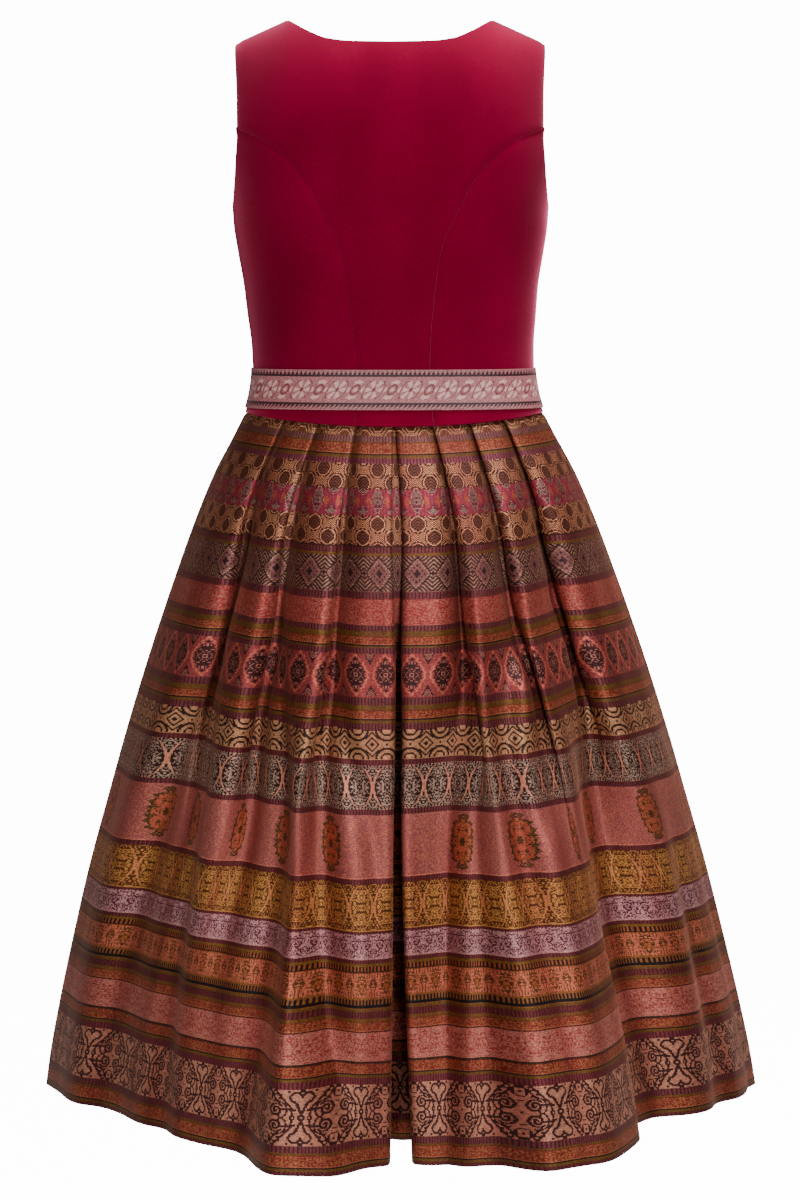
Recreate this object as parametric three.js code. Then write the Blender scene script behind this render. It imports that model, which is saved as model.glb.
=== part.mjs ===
import * as THREE from "three";

// A sleeveless dirndl in its worn, hollow shape: a velvet bodice with princess seams, a ribbon belt
// and a pleated skirt. Millimetres, +Z up. The back faces -Y, the wearer's right is +X.
// The origin lies midway between the two neck points, where the shoulders carry the dress.

// Cloth and seams
const VELVET_WALL = 1.6;
const SKIRT_WALL = 1.4;
const RIBBON_WALL = 1.2;
const SEAM_GAP = 0.3;
const BELT_GAP = 0.6;
const DEGREE = Math.PI / 180;
const SIDES = [
  { name: "left", sign: -1 },
  { name: "right", sign: 1 },
];

// Levels, measured down from the neck points
const WAIST_SEAM_SIDE_Z = -390;
const WAIST_SEAM_DIP = 11;
const WAIST_SEAM_HALF_WIDTH = 151;
const PRINCESS_BOTTOM_Z = -400;
const UNDERARM_Z = -188;
const BELT_TOP_Z = -346;
const BELT_BOTTOM_Z = -385.5;

// Shoulders and neck
const NECK_HALF_WIDTH = 101.5;
const SHOULDER_SLOPE = 0.452;
const NAPE_RISE = 10;
const SHOULDER_TIP_Z = -22;
const SHOULDER_ROUND = { back: 120, front: 150 };

// Round the bust
const BUST = { x: 80, z: -232, out: 13, wide: 46, high: 62 };
const TORSO_POWER = 2.3;

// The whole dress leans a little to the wearer's right towards the hem
const LEAN = [
  { z: -1080, x: 11 },
  { z: -840, x: 8 },
  { z: -560, x: 6 },
  { z: -370, x: 4 },
  { z: -250, x: 1 },
  { z: 0, x: 0 },
];

// Sections of the torso: half of the width, and the depth behind and before the shoulder line
const TORSO = [
  { z: -403, half: 154, back: 96, front: 105 },
  { z: -390, half: 149, back: 92, front: 101 },
  { z: -368, half: 143, back: 85, front: 96 },
  { z: -346, half: 140.5, back: 81, front: 94 },
  { z: -323, half: 141, back: 80, front: 95 },
  { z: -293, half: 144, back: 82, front: 102 },
  { z: -263, half: 147, back: 85, front: 110 },
  { z: -233, half: 152, back: 89, front: 114 },
  { z: -203, half: 156.5, back: 93, front: 114 },
  { z: -188, half: 157.5, back: 95, front: 113 },
  { z: -170, half: 159.5, back: 96, front: 111 },
  { z: -150, half: 162, back: 96, front: 109 },
  { z: -128, half: 165, back: 95, front: 106 },
  { z: -98, half: 167, back: 92, front: 100 },
  { z: -60, half: 168, back: 88, front: 88 },
  { z: 12, half: 168, back: 84, front: 74 },
];

// The outer edge of the back panel: princess seam up to the armhole, then the armhole
const BACK_ARMHOLE_FOOT_Z = -108;
const BACK_EDGE = [
  { z: -403, x: 39 },
  { z: -385, x: 37.5 },
  { z: -345, x: 36 },
  { z: -315, x: 38 },
  { z: -287, x: 41 },
  { z: -247, x: 46.5 },
  { z: -222, x: 52 },
  { z: -204, x: 60 },
  { z: -177, x: 74 },
  { z: -157, x: 86 },
  { z: -138.5, x: 103 },
  { z: -122.5, x: 124 },
  { z: -108, x: 152.5 },
  { z: -80, x: 152.7 },
  { z: -50, x: 154 },
  { z: -30, x: 155 },
  { z: -20, x: 155 },
];

// The outer edge of a front panel: princess seam over the bust, then the armhole
const FRONT_ARMHOLE_FOOT_Z = -112;
const FRONT_EDGE = [
  { z: -403, x: 62 },
  { z: -345, x: 60 },
  { z: -300, x: 69 },
  { z: -260, x: 80 },
  { z: -232, x: 86 },
  { z: -205, x: 92 },
  { z: -175, x: 103 },
  { z: -150, x: 116 },
  { z: -130, x: 129 },
  { z: -112, x: 143 },
  { z: -85, x: 143 },
  { z: -60, x: 146.5 },
  { z: -45, x: 150.5 },
  { z: -30, x: 155 },
  { z: -20, x: 155 },
];

// The lower arc of each armhole, as parts of the way round from the princess seam to the side seam
const BACK_UNDERARM = [
  { part: 0, z: BACK_ARMHOLE_FOOT_Z },
  { part: 0.05, z: -128 },
  { part: 0.21, z: -150 },
  { part: 0.44, z: -170 },
  { part: 0.68, z: -182 },
  { part: 1, z: UNDERARM_Z },
];
const FRONT_UNDERARM = [
  { part: 0, z: FRONT_ARMHOLE_FOOT_Z },
  { part: 0.08, z: -130 },
  { part: 0.23, z: -149 },
  { part: 0.48, z: -170 },
  { part: 0.69, z: -182 },
  { part: 1, z: UNDERARM_Z },
];

// Necklines, from the middle out to the neck point
const BACK_NECK = [
  { x: 0, z: -24.5 },
  { x: 40, z: -23.5 },
  { x: 62, z: -20.5 },
  { x: 80, z: -13 },
  { x: 92, z: -6 },
  { x: NECK_HALF_WIDTH, z: 0 },
];
const FRONT_NECK = [
  { x: 0, z: -128 },
  { x: 29, z: -126 },
  { x: 53, z: -117 },
  { x: 70, z: -101 },
  { x: 81, z: -79 },
  { x: 89, z: -52 },
  { x: 95, z: -25 },
  { x: NECK_HALF_WIDTH, z: 0 },
];

// Heights at which the upright panels are sampled, close together where their edges curve
const SEAM_LEVELS = [
  -386, -370, -355, -340, -318, -288, -256, -228, -204, -184, -166, -150, -136, -125, -116,
];
const ARMHOLE_HEIGHTS = [60, 38, 22, 11, 4, 0];
const LEVEL_CLEAR = 4;

// Columns of the panels, as parts of their width
const STRAP_PARTS = [0.5, 1];
const SIDE_PANEL_PARTS = [0, 0.06, 0.2, 0.38, 0.58, 0.8, 1];
const BELT_COLUMNS = 60;
const BELT_ROWS = 3;

// The skirt's sections. power is the roundness of the plan: 2 is an ellipse, less is more pointed
const SKIRT = [
  { z: -390, half: 148, back: 92, front: 101, power: 2.25 },
  { z: -405, half: 155.5, back: 101, front: 110, power: 2.2 },
  { z: -420, half: 163.5, back: 111, front: 119, power: 2.15 },
  { z: -450, half: 179.5, back: 131, front: 137, power: 2.1 },
  { z: -500, half: 200.5, back: 157, front: 161, power: 2.05 },
  { z: -560, half: 222.5, back: 184, front: 187, power: 2.0 },
  { z: -630, half: 246.5, back: 213, front: 214, power: 1.9 },
  { z: -700, half: 268.5, back: 240, front: 239, power: 1.85 },
  { z: -770, half: 288.5, back: 265, front: 262, power: 1.8 },
  { z: -840, half: 308, back: 289, front: 284, power: 1.75 },
  { z: -910, half: 325, back: 310, front: 303, power: 1.7 },
  { z: -980, half: 341, back: 329, front: 321, power: 1.65 },
  { z: -1030, half: 351, back: 342, front: 332, power: 1.6 },
  { z: -1063, half: 356, back: 348, front: 338, power: 1.6 },
];
const SKIRT_TOP_Z = SKIRT[0].z;
const SKIRT_LENGTH = SKIRT_TOP_Z - SKIRT[SKIRT.length - 1].z;

// Height of the hem by angle from the middle of the back or front towards the side seam
const HEM = {
  back: [
    { angle: 0, z: -1074 },
    { angle: 15, z: -1074 },
    { angle: 30, z: -1069 },
    { angle: 45, z: -1061 },
    { angle: 65, z: -1059 },
    { angle: 90, z: -1062 },
  ],
  front: [
    { angle: 0, z: -1070 },
    { angle: 30, z: -1068 },
    { angle: 60, z: -1061 },
    { angle: 90, z: -1062 },
  ],
};

// Knife pleats in each quarter of the skirt. crest is the angle of the fold edge at the waist.
// dive, foot, under and top are where the pleat's parts have spread to at the hem
const PLEATS = [
  { crest: 15.4, dive: 9, foot: 12.5, valley: 15.5, under: 21, top: 24.5 },
  { crest: 30.7, dive: 28.5, foot: 32, valley: 35, under: 38.6, top: 41 },
  { crest: 47.7, dive: 46, foot: 50, valley: 53, under: 60, top: 64 },
];
const PANEL_PARTS = [0.34, 0.67];
const SIDE_CLOTH_PARTS = [0.2, 0.45, 0.72];
const SIDE_ANGLES = [70, 76, 82, 86.5];
const STRAIGHT_ANGLE = 5;
const STRAIGHT_BLEND = 10;

// A knife pleat's layers, as parts of its depth, in their order along the cloth
const LAYER = {
  panel: 0.03,
  dive: 0.1,
  slope: 0.55,
  foot: 1,
  valley: 0.68,
  middle: 0.52,
  under: 0.36,
};
// Where a pleat dives under its fold, as parts of the panel's width before the fold
const DIVE_START = 0.26;
const DIVE_MIDDLE = 0.12;
const DIVE_MIDDLE_AT_HEM = 0.6;
const FOOT_SET_BACK = 0.2;
const VALLEY_ROUND = 1;

// How a pleat opens from the waist (down 0) to the hem (down 1). overlap is in degrees of cloth
// lying under the next panel, depth in millimetres. spread is how far it has moved to its hem place
const OPENING = [
  { down: 0, overlap: 9, depth: 6.6, spread: 0, lobe: 0 },
  { down: 0.1, overlap: 8.5, depth: 9, spread: 0, lobe: 0.02 },
  { down: 0.25, overlap: 7, depth: 14, spread: 0, lobe: 0.08 },
  { down: 0.45, overlap: 3.5, depth: 18, spread: 0.03, lobe: 0.3 },
  { down: 0.6, overlap: 1.2, depth: 16, spread: 0.15, lobe: 0.55 },
  { down: 0.8, overlap: 0.6, depth: 8, spread: 0.6, lobe: 0.85 },
  { down: 1, overlap: 0.4, depth: 4, spread: 1, lobe: 1 },
];

// The inverted box pleat in the middle of the back and the front, in millimetres
const BOX_PLEAT = [
  { down: 0, slot: 2.6, tuck: 23, depth: 6.6, lip: 2.6 },
  { down: 0.1, slot: 3, tuck: 21, depth: 15, lip: 5 },
  { down: 0.25, slot: 3.6, tuck: 17, depth: 34, lip: 9 },
  { down: 0.45, slot: 4.8, tuck: 12, depth: 64, lip: 12 },
  { down: 0.7, slot: 7.5, tuck: 7, depth: 100, lip: 16 },
  { down: 1, slot: 12, tuck: 3, depth: 134, lip: 20 },
];

// The bends of the box pleat's walls, as parts of the way from its bottom to its lip, and the
// rounding of the lip once it has spread
const BOX_WALL = { inner: 0.4, outer: 0.75, narrowed: 0.6 };
const LIP_EDGE = { angle: 0.4, depth: 0.3 };

// The hem's big soft lobes, outwards of the plain section, by angle from the middle
const LOBES = {
  backRight: [
    { angle: 0, out: -48 },
    { angle: 3, out: -46 },
    { angle: 9, out: -34 },
    { angle: 15.7, out: -8 },
    { angle: 20.5, out: 24 },
    { angle: 26.7, out: 38 },
    { angle: 33, out: 25 },
    { angle: 39, out: 14 },
    { angle: 43.2, out: -22 },
    { angle: 50, out: -20 },
    { angle: 59, out: -5 },
    { angle: 72, out: 3 },
    { angle: 80, out: -5 },
    { angle: 90, out: 0 },
  ],
  backLeft: [
    { angle: 0, out: -40 },
    { angle: 3, out: -36 },
    { angle: 7, out: -15 },
    { angle: 12, out: 2 },
    { angle: 18.4, out: 18 },
    { angle: 22, out: 4 },
    { angle: 26, out: -11 },
    { angle: 34, out: -15 },
    { angle: 43, out: -8 },
    { angle: 52, out: -13 },
    { angle: 64, out: -2 },
    { angle: 76, out: -7 },
    { angle: 90, out: 0 },
  ],
  frontRight: [
    { angle: 0, out: -40 },
    { angle: 3, out: -38 },
    { angle: 9, out: -12 },
    { angle: 17, out: 20 },
    { angle: 27, out: -10 },
    { angle: 37, out: 14 },
    { angle: 47, out: -16 },
    { angle: 59, out: 6 },
    { angle: 72, out: -7 },
    { angle: 90, out: 0 },
  ],
  frontLeft: [
    { angle: 0, out: -42 },
    { angle: 3, out: -38 },
    { angle: 10, out: -6 },
    { angle: 20, out: 22 },
    { angle: 29, out: -4 },
    { angle: 40, out: 10 },
    { angle: 49, out: -18 },
    { angle: 62, out: 4 },
    { angle: 75, out: -6 },
    { angle: 90, out: 0 },
  ],
};
const SKIRT_ROWS = [0, 0.05, 0.12, 0.22, 0.34, 0.46, 0.58, 0.7, 0.82, 0.92, 1];

// Short steps that directions are measured over, and how far a mitre may reach
const NORMAL_STEP = 0.0004;
const TANGENT_ANGLE = 0.4;
const MITRE_LIMIT = 0.6;

const COLOURS = {
  velvet: 0x860c2c,
  ribbon: 0xb0707c,
  skirt: 0xa34a38,
};

// A smooth curve through a table's points that never overshoots them
function curve(table, from, to) {
  const rows = [...table].sort((a, b) => a[from] - b[from]);
  const xs = rows.map((row) => row[from]);
  const ys = rows.map((row) => row[to]);
  const last = xs.length - 1;
  const rise = xs.slice(1).map((x, i) => (ys[i + 1] - ys[i]) / (x - xs[i]));
  const slopes = xs.map((x, i) => {
    if (i === 0) return rise[0];
    if (i === last) return rise[last - 1];
    if (rise[i - 1] * rise[i] <= 0) return 0;
    return (2 * rise[i - 1] * rise[i]) / (rise[i - 1] + rise[i]);
  });
  return (x) => {
    if (x <= xs[0]) return ys[0];
    if (x >= xs[last]) return ys[last];
    const i = xs.findIndex((value) => value > x) - 1;
    const span = xs[i + 1] - xs[i];
    const t = (x - xs[i]) / span;
    const start = ys[i] * (1 + 2 * t) * (1 - t) ** 2 + slopes[i] * span * t * (1 - t) ** 2;
    const end = ys[i + 1] * t * t * (3 - 2 * t) + slopes[i + 1] * span * t * t * (t - 1);
    return start + end;
  };
}

const mix = (a, b, t) => a + (b - a) * t;
const steps = (count) => Array.from({ length: count + 1 }, (_, i) => i / count);

const leanAt = curve(LEAN, "z", "x");
const torsoHalf = curve(TORSO, "z", "half");
const torsoDepth = {
  back: curve(TORSO, "z", "back"),
  front: curve(TORSO, "z", "front"),
};
const underarmZ = {
  back: curve(BACK_UNDERARM, "part", "z"),
  front: curve(FRONT_UNDERARM, "part", "z"),
};
const edgeX = {
  back: curve(BACK_EDGE, "z", "x"),
  front: curve(FRONT_EDGE, "z", "x"),
};
const neckZ = {
  back: curve(BACK_NECK, "x", "z"),
  front: curve(FRONT_NECK, "x", "z"),
};
const FACING = { back: -1, front: 1 };

// Height of the shoulder line, and of its rise to the nape inside the neck opening
function shoulderZ(x) {
  if (x > NECK_HALF_WIDTH) return -(x - NECK_HALF_WIDTH) * SHOULDER_SLOPE;
  return NAPE_RISE * (1 - (x / NECK_HALF_WIDTH) ** 2);
}

// Height of the seam between bodice and skirt, lowest in the middle of the back and the front
function waistSeamZ(x) {
  const across = Math.min(x / WAIST_SEAM_HALF_WIDTH, 1);
  return WAIST_SEAM_SIDE_Z - WAIST_SEAM_DIP * (1 - across ** 2);
}

// Depth of the worn bodice before or behind the shoulder line, at a distance x from its middle
function bodiceDepth(face, x, z) {
  const across = Math.min(x / torsoHalf(z), 1);
  const round = (1 - across ** TORSO_POWER) ** (1 / TORSO_POWER);
  const below = Math.max(shoulderZ(x) - z, 0) / SHOULDER_ROUND[face];
  const shoulder = below < 1 ? Math.sqrt(1 - (1 - below) ** 2) : 1;
  const near = ((x - BUST.x) / BUST.wide) ** 2 + ((z - BUST.z) / BUST.high) ** 2;
  const bust = face === "front" ? BUST.out * Math.exp(-near) : 0;
  return (torsoDepth[face](z) + bust) * round * shoulder;
}

// A point of the bodice's outside by its distance from the middle, or by its angle round the torso
function bodiceAt(face, sign, x, z) {
  return new THREE.Vector3(sign * x + leanAt(z), FACING[face] * bodiceDepth(face, x, z), z);
}
function roundX(angle, z) {
  return torsoHalf(z) * Math.sin(Math.min(angle, 90) * DEGREE) ** (2 / TORSO_POWER);
}
function bodiceRound(face, sign, angle, z) {
  return bodiceAt(face, sign, roundX(angle, z), z);
}
function angleOf(x, z) {
  return Math.asin(Math.min(x / torsoHalf(z), 1) ** (TORSO_POWER / 2)) / DEGREE;
}

// A closed body from two grids of points with the same rows and columns: its outside and its inside.
// Seen from outside, rows run upwards and columns run from left to right. Each cell of the grid is
// split along its shorter diagonal
function closedWall(outside, inside) {
  const rows = outside.length;
  const columns = outside[0].length;
  const positions = [...outside.flat(), ...inside.flat()].flatMap((p) => [p.x, p.y, p.z]);
  const outer = (i, j) => i * columns + j;
  const inner = (i, j) => rows * columns + i * columns + j;
  const index = [];
  const quad = (a, b, c, d) => index.push(a, b, c, a, c, d);
  for (let i = 0; i < rows - 1; i += 1) {
    for (let j = 0; j < columns - 1; j += 1) {
      const rising = outside[i][j].distanceTo(outside[i + 1][j + 1]);
      const falling = outside[i + 1][j].distanceTo(outside[i][j + 1]);
      if (rising <= falling) {
        quad(outer(i, j), outer(i, j + 1), outer(i + 1, j + 1), outer(i + 1, j));
        quad(inner(i, j), inner(i + 1, j), inner(i + 1, j + 1), inner(i, j + 1));
      } else {
        quad(outer(i, j + 1), outer(i + 1, j + 1), outer(i + 1, j), outer(i, j));
        quad(inner(i + 1, j), inner(i + 1, j + 1), inner(i, j + 1), inner(i, j));
      }
    }
    quad(outer(i, 0), outer(i + 1, 0), inner(i + 1, 0), inner(i, 0));
    const j = columns - 1;
    quad(outer(i, j), inner(i, j), inner(i + 1, j), outer(i + 1, j));
  }
  for (let j = 0; j < columns - 1; j += 1) {
    const i = rows - 1;
    quad(outer(0, j), inner(0, j), inner(0, j + 1), outer(0, j + 1));
    quad(outer(i, j), outer(i, j + 1), inner(i, j + 1), inner(i, j));
  }
  const geometry = new THREE.BufferGeometry();
  geometry.setAttribute("position", new THREE.Float32BufferAttribute(positions, 3));
  geometry.setIndex(index);
  geometry.computeVertexNormals();
  return geometry;
}

// The outward direction of a surface given by two numbers from 0 to 1
function outward(surface, column, row) {
  const from = (value) => Math.max(value - NORMAL_STEP, 0);
  const to = (value) => Math.min(value + NORMAL_STEP, 1);
  const across = surface(to(column), row).sub(surface(from(column), row));
  const up = surface(column, to(row)).sub(surface(column, from(row)));
  return across.cross(up).normalize();
}

// A wall whose outside lies "out" off a surface, sampled at the given columns and rows.
// Its lower edge is cut level through the cloth
function wallOn(surface, columns, rows, thickness, out = 0) {
  const outside = [];
  const inside = [];
  for (const row of rows) {
    const normals = columns.map((column) => outward(surface, column, row));
    if (row === 0) for (const normal of normals) normal.setZ(0).normalize();
    const points = columns.map((column) => surface(column, row));
    outside.push(points.map((p, j) => p.clone().addScaledVector(normals[j], out)));
    inside.push(points.map((p, j) => p.clone().addScaledVector(normals[j], out - thickness)));
  }
  return closedWall(outside, inside);
}

// A panel's surface runs from left to right as seen from outside. The back is seen with +X to the
// right and the front with +X to the left
const runsRight = (face, sign) => FACING[face] * sign < 0;

// Rows of an upright panel as parts of its outer edge's height
function uprightRows(face, footZ) {
  const bottom = waistSeamZ(edgeX[face](PRINCESS_BOTTOM_Z));
  const tip = shoulderZ(edgeX[face](SHOULDER_TIP_Z));
  const levels = [...SEAM_LEVELS.filter((z) => z < footZ - LEVEL_CLEAR), footZ];
  const armhole = ARMHOLE_HEIGHTS.map((height) => tip - height);
  const above = armhole.filter((z) => z > footZ + LEVEL_CLEAR);
  return [bottom, ...levels, ...above].map((z) => (z - bottom) / (tip - bottom));
}

// A point of a panel that reaches from the middle to the princess seam and the shoulder.
// across runs from 0 in the middle to 1 at the outer edge
function uprightPoint(face, sign, across, row) {
  const tipX = edgeX[face](SHOULDER_TIP_Z) - SEAM_GAP / 2;
  const topX = across * tipX;
  const topZ = topX < NECK_HALF_WIDTH ? neckZ[face](topX) : shoulderZ(topX);
  const bottomZ = waistSeamZ(across * edgeX[face](PRINCESS_BOTTOM_Z));
  const z = mix(bottomZ, topZ, row);
  const x = across * (edgeX[face](z) - SEAM_GAP / 2);
  const point = bodiceAt(face, sign, x, z);
  point.y += (FACING[face] * SEAM_GAP) / 2;
  return point;
}

// Columns of an upright panel, with one at each point of its neckline
function uprightColumns(face) {
  const tipX = edgeX[face](SHOULDER_TIP_Z) - SEAM_GAP / 2;
  const neck = { back: BACK_NECK, front: FRONT_NECK }[face];
  const strapX = STRAP_PARTS.map((part) => mix(NECK_HALF_WIDTH, tipX, part));
  return [...neck.map((point) => point.x), ...strapX].map((x) => x / tipX);
}

function backPanel() {
  const half = uprightColumns("back");
  const columns = [...half.slice(1).map((c) => -c).reverse(), ...half].map((c) => (c + 1) / 2);
  const surface = (column, row) => {
    const across = column * 2 - 1;
    return uprightPoint("back", Math.sign(across), Math.abs(across), row);
  };
  return wallOn(surface, columns, uprightRows("back", BACK_ARMHOLE_FOOT_Z), VELVET_WALL);
}

function frontPanel(sign) {
  const half = uprightColumns("front");
  const right = runsRight("front", sign);
  const columns = right ? half : half.map((c) => 1 - c).reverse();
  const surface = (column, row) => {
    const point = uprightPoint("front", sign, right ? column : 1 - column, row);
    point.x += (sign * SEAM_GAP) / 2;
    return point;
  };
  return wallOn(surface, columns, uprightRows("front", FRONT_ARMHOLE_FOOT_Z), VELVET_WALL);
}

// A panel between a princess seam and the side seam, cut out under the arm
function sidePanel(face, sign) {
  const footZ = { back: BACK_ARMHOLE_FOOT_Z, front: FRONT_ARMHOLE_FOOT_Z }[face];
  const right = runsRight(face, sign);
  const seamBottomX = edgeX[face](PRINCESS_BOTTOM_Z);
  const seamBottomZ = waistSeamZ(seamBottomX);
  const bottomAngle = angleOf(seamBottomX, PRINCESS_BOTTOM_Z);
  const surface = (column, row) => {
    const across = right ? column : 1 - column;
    const seamZ = mix(seamBottomZ, footZ, row);
    const topZ = underarmZ[face](across);
    const seamAngle = angleOf(edgeX[face](seamZ), seamZ);
    const angle = mix(seamAngle, 90, across);
    const bottomZ = waistSeamZ(roundX(mix(bottomAngle, 90, across), PRINCESS_BOTTOM_Z));
    const z = mix(bottomZ, topZ, row);
    const point = bodiceRound(face, sign, angle, z);
    const fromSeam = 1 - across;
    point.x += sign * fromSeam * (SEAM_GAP / 2);
    point.y += FACING[face] * (SEAM_GAP / 2);
    return point;
  };
  const columns = right ? SIDE_PANEL_PARTS : SIDE_PANEL_PARTS.map((c) => 1 - c).reverse();
  const levels = [seamBottomZ, ...SEAM_LEVELS.filter((z) => z < footZ - LEVEL_CLEAR), footZ];
  const rows = levels.map((z) => (z - seamBottomZ) / (footZ - seamBottomZ));
  return wallOn(surface, columns, rows, VELVET_WALL);
}

// The ribbon belt lies on the bodice and its two ends meet in the middle of the front
function belt() {
  const surface = (column, row) => {
    const turn = mix(-180, 180, column);
    const sign = Math.sign(turn) || 1;
    const fromBack = Math.abs(turn);
    const face = fromBack <= 90 ? "back" : "front";
    const angle = fromBack <= 90 ? fromBack : 180 - fromBack;
    const point = bodiceRound(face, sign, angle, mix(BELT_BOTTOM_Z, BELT_TOP_Z, row));
    point.x += sign * (fromBack === 180 ? SEAM_GAP / 2 : 0);
    point.y += FACING[face] * (SEAM_GAP / 2);
    return point;
  };
  const out = BELT_GAP + RIBBON_WALL;
  return wallOn(surface, steps(BELT_COLUMNS), steps(BELT_ROWS), RIBBON_WALL, out);
}

const skirtHalf = curve(SKIRT, "z", "half");
const skirtPower = curve(SKIRT, "z", "power");
const skirtDepth = {
  back: curve(SKIRT, "z", "back"),
  front: curve(SKIRT, "z", "front"),
};
const hemZ = {
  back: curve(HEM.back, "angle", "z"),
  front: curve(HEM.front, "angle", "z"),
};
const opening = Object.fromEntries(
  ["overlap", "depth", "spread", "lobe"].map((key) => [key, curve(OPENING, "down", key)]),
);
const boxPleat = Object.fromEntries(
  ["slot", "tuck", "depth", "lip"].map((key) => [key, curve(BOX_PLEAT, "down", key)]),
);

// The plain section of the skirt, and the same moved outwards. Near the middle it moves straight
// backwards or forwards, so that the two walls of the box pleat stay apart
function skirtPlain(face, sign, angle, down) {
  const z = SKIRT_TOP_Z - down * SKIRT_LENGTH;
  const power = skirtPower(z);
  const across = Math.sin(angle * DEGREE);
  const depth = (1 - Math.min(across, 1) ** power) ** (1 / power);
  return new THREE.Vector2(sign * skirtHalf(z) * across, FACING[face] * skirtDepth[face](z) * depth);
}
function skirtPoint(face, sign, angle, down, out) {
  const here = skirtPlain(face, sign, angle, down);
  const before = skirtPlain(face, sign, Math.max(angle - TANGENT_ANGLE, 0), down);
  const after = skirtPlain(face, sign, Math.min(angle + TANGENT_ANGLE, 90), down);
  const along = after.sub(before).normalize();
  const sideways = Math.min(Math.max(angle - STRAIGHT_ANGLE, 0) / STRAIGHT_BLEND, 1);
  const x = sign * Math.abs(along.y) * sideways;
  const direction = new THREE.Vector2(x, FACING[face] * Math.abs(along.x));
  if (angle === 90) direction.set(sign, 0);
  return here.addScaledVector(direction.normalize(), out);
}

// One quarter of a skirt section as places along the cloth, from the middle to the side seam.
// Each has its angle and how far it lies outwards of the plain section
function quarterPlaces(lobe, down) {
  const lobeShare = opening.lobe(down);
  const spread = opening.spread(down);
  const depth = opening.depth(down) * (1 - spread);
  const overlap = opening.overlap(down);
  const places = [];
  const add = (angle, out) => places.push({ angle, out: out + lobe(angle) * lobeShare });
  const halfWidth = skirtHalf(SKIRT_TOP_Z - down * SKIRT_LENGTH);
  const slotAngle = Math.asin(boxPleat.slot(down) / halfWidth) / DEGREE;
  const tuckAngle = slotAngle + boxPleat.tuck(down) / halfWidth / DEGREE;
  const boxDepth = boxPleat.depth(down);
  const lip = boxPleat.lip(down);
  const lipOut = lobe(slotAngle) * lobeShare - lip;
  places.push({ angle: 0, out: -boxDepth });
  places.push({ angle: tuckAngle, out: -boxDepth });
  places.push({ angle: tuckAngle, out: mix(-boxDepth, lipOut, BOX_WALL.inner) });
  const narrowed = mix(tuckAngle, slotAngle, BOX_WALL.narrowed);
  places.push({ angle: narrowed, out: mix(-boxDepth, lipOut, BOX_WALL.outer) });
  places.push({ angle: slotAngle, out: lipOut });
  add(slotAngle + LIP_EDGE.angle * spread, -lip * LIP_EDGE.depth * spread);
  let previous = slotAngle;
  for (const pleat of PLEATS) {
    const fold = pleat.crest;
    const panel = fold - previous;
    const at = (folded, hem) => mix(folded, hem, spread);
    const start = places[places.length - 1].angle;
    const dive = at(fold - panel * DIVE_START, pleat.dive);
    const slopeAtHem = mix(pleat.dive, pleat.foot, DIVE_MIDDLE_AT_HEM);
    const middleAtHem = mix(pleat.valley, pleat.under, 0.5);
    for (const part of PANEL_PARTS) add(mix(start, dive, part), -depth * LAYER.panel * part);
    add(dive, -depth * LAYER.dive);
    add(at(fold - panel * DIVE_MIDDLE, slopeAtHem), -depth * LAYER.slope);
    add(at(fold - FOOT_SET_BACK, pleat.foot), -depth * LAYER.foot);
    add(at(fold + overlap, pleat.valley - VALLEY_ROUND), -depth * LAYER.foot);
    add(at(fold + overlap, pleat.valley + VALLEY_ROUND), -depth * LAYER.valley);
    add(at(fold + overlap / 2, middleAtHem), -depth * LAYER.middle);
    add(at(fold, pleat.under), -depth * LAYER.under);
    add(at(fold, pleat.top), 0);
    previous = fold;
  }
  const crest = places[places.length - 1].angle;
  const sideStart = SIDE_ANGLES[0];
  for (const part of SIDE_CLOTH_PARTS) add(mix(crest, sideStart, part), 0);
  for (const angle of SIDE_ANGLES) add(angle, 0);
  places.push({ angle: 90, out: 0 });
  return places;
}

// Height of a place: rows divide the cloth evenly between the waist seam and the hem
function skirtZ(face, angle, down) {
  const seamX = SKIRT[0].half * Math.sin(angle * DEGREE);
  return mix(waistSeamZ(seamX) - SEAM_GAP, hemZ[face](angle), down);
}

// The line of one skirt section, from left to right as seen from outside
function sectionLine(face, down) {
  const quarter = (side) => {
    const key = face + side.name[0].toUpperCase() + side.name.slice(1);
    const lobe = curve(LOBES[key], "angle", "out");
    return quarterPlaces(lobe, down).map((place) => {
      const flat = skirtPoint(face, side.sign, place.angle, down, place.out);
      return new THREE.Vector3(flat.x, flat.y, skirtZ(face, place.angle, down));
    });
  };
  const [left, right] = SIDES.map(quarter);
  const [first, second] = face === "back" ? [left, right] : [right, left];
  const line = [...first.reverse(), ...second.slice(1)];
  const side = (FACING[face] * SEAM_GAP) / 2;
  for (const point of line) point.x += leanAt(point.z);
  line[0].y += side;
  line[line.length - 1].y += side;
  return line;
}

// A section's line moved sideways in its own level by a distance, mitred where it bends.
// To the right of the line's run is outside, and both ends are cut square at the side seams
function movedLine(line, distance) {
  const flat = (a, b) => new THREE.Vector2(b.x - a.x, b.y - a.y).normalize();
  const right = (v) => new THREE.Vector2(v.y, -v.x);
  return line.map((point, i) => {
    if (i === 0 || i === line.length - 1) {
      return new THREE.Vector3(point.x + Math.sign(point.x) * distance, point.y, point.z);
    }
    const before = right(flat(line[i - 1], point));
    const after = right(flat(point, line[i + 1]));
    const middle = before.clone().add(after).normalize();
    const reach = distance / Math.max(middle.dot(after), MITRE_LIMIT);
    return new THREE.Vector3(point.x + middle.x * reach, point.y + middle.y * reach, point.z);
  });
}

function skirtPanel(face) {
  const rows = [...SKIRT_ROWS].reverse().map((down) => sectionLine(face, down));
  const outside = rows.map((line) => movedLine(line, SKIRT_WALL / 2));
  const inside = rows.map((line) => movedLine(line, -SKIRT_WALL / 2));
  return closedWall(outside, inside);
}

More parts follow.
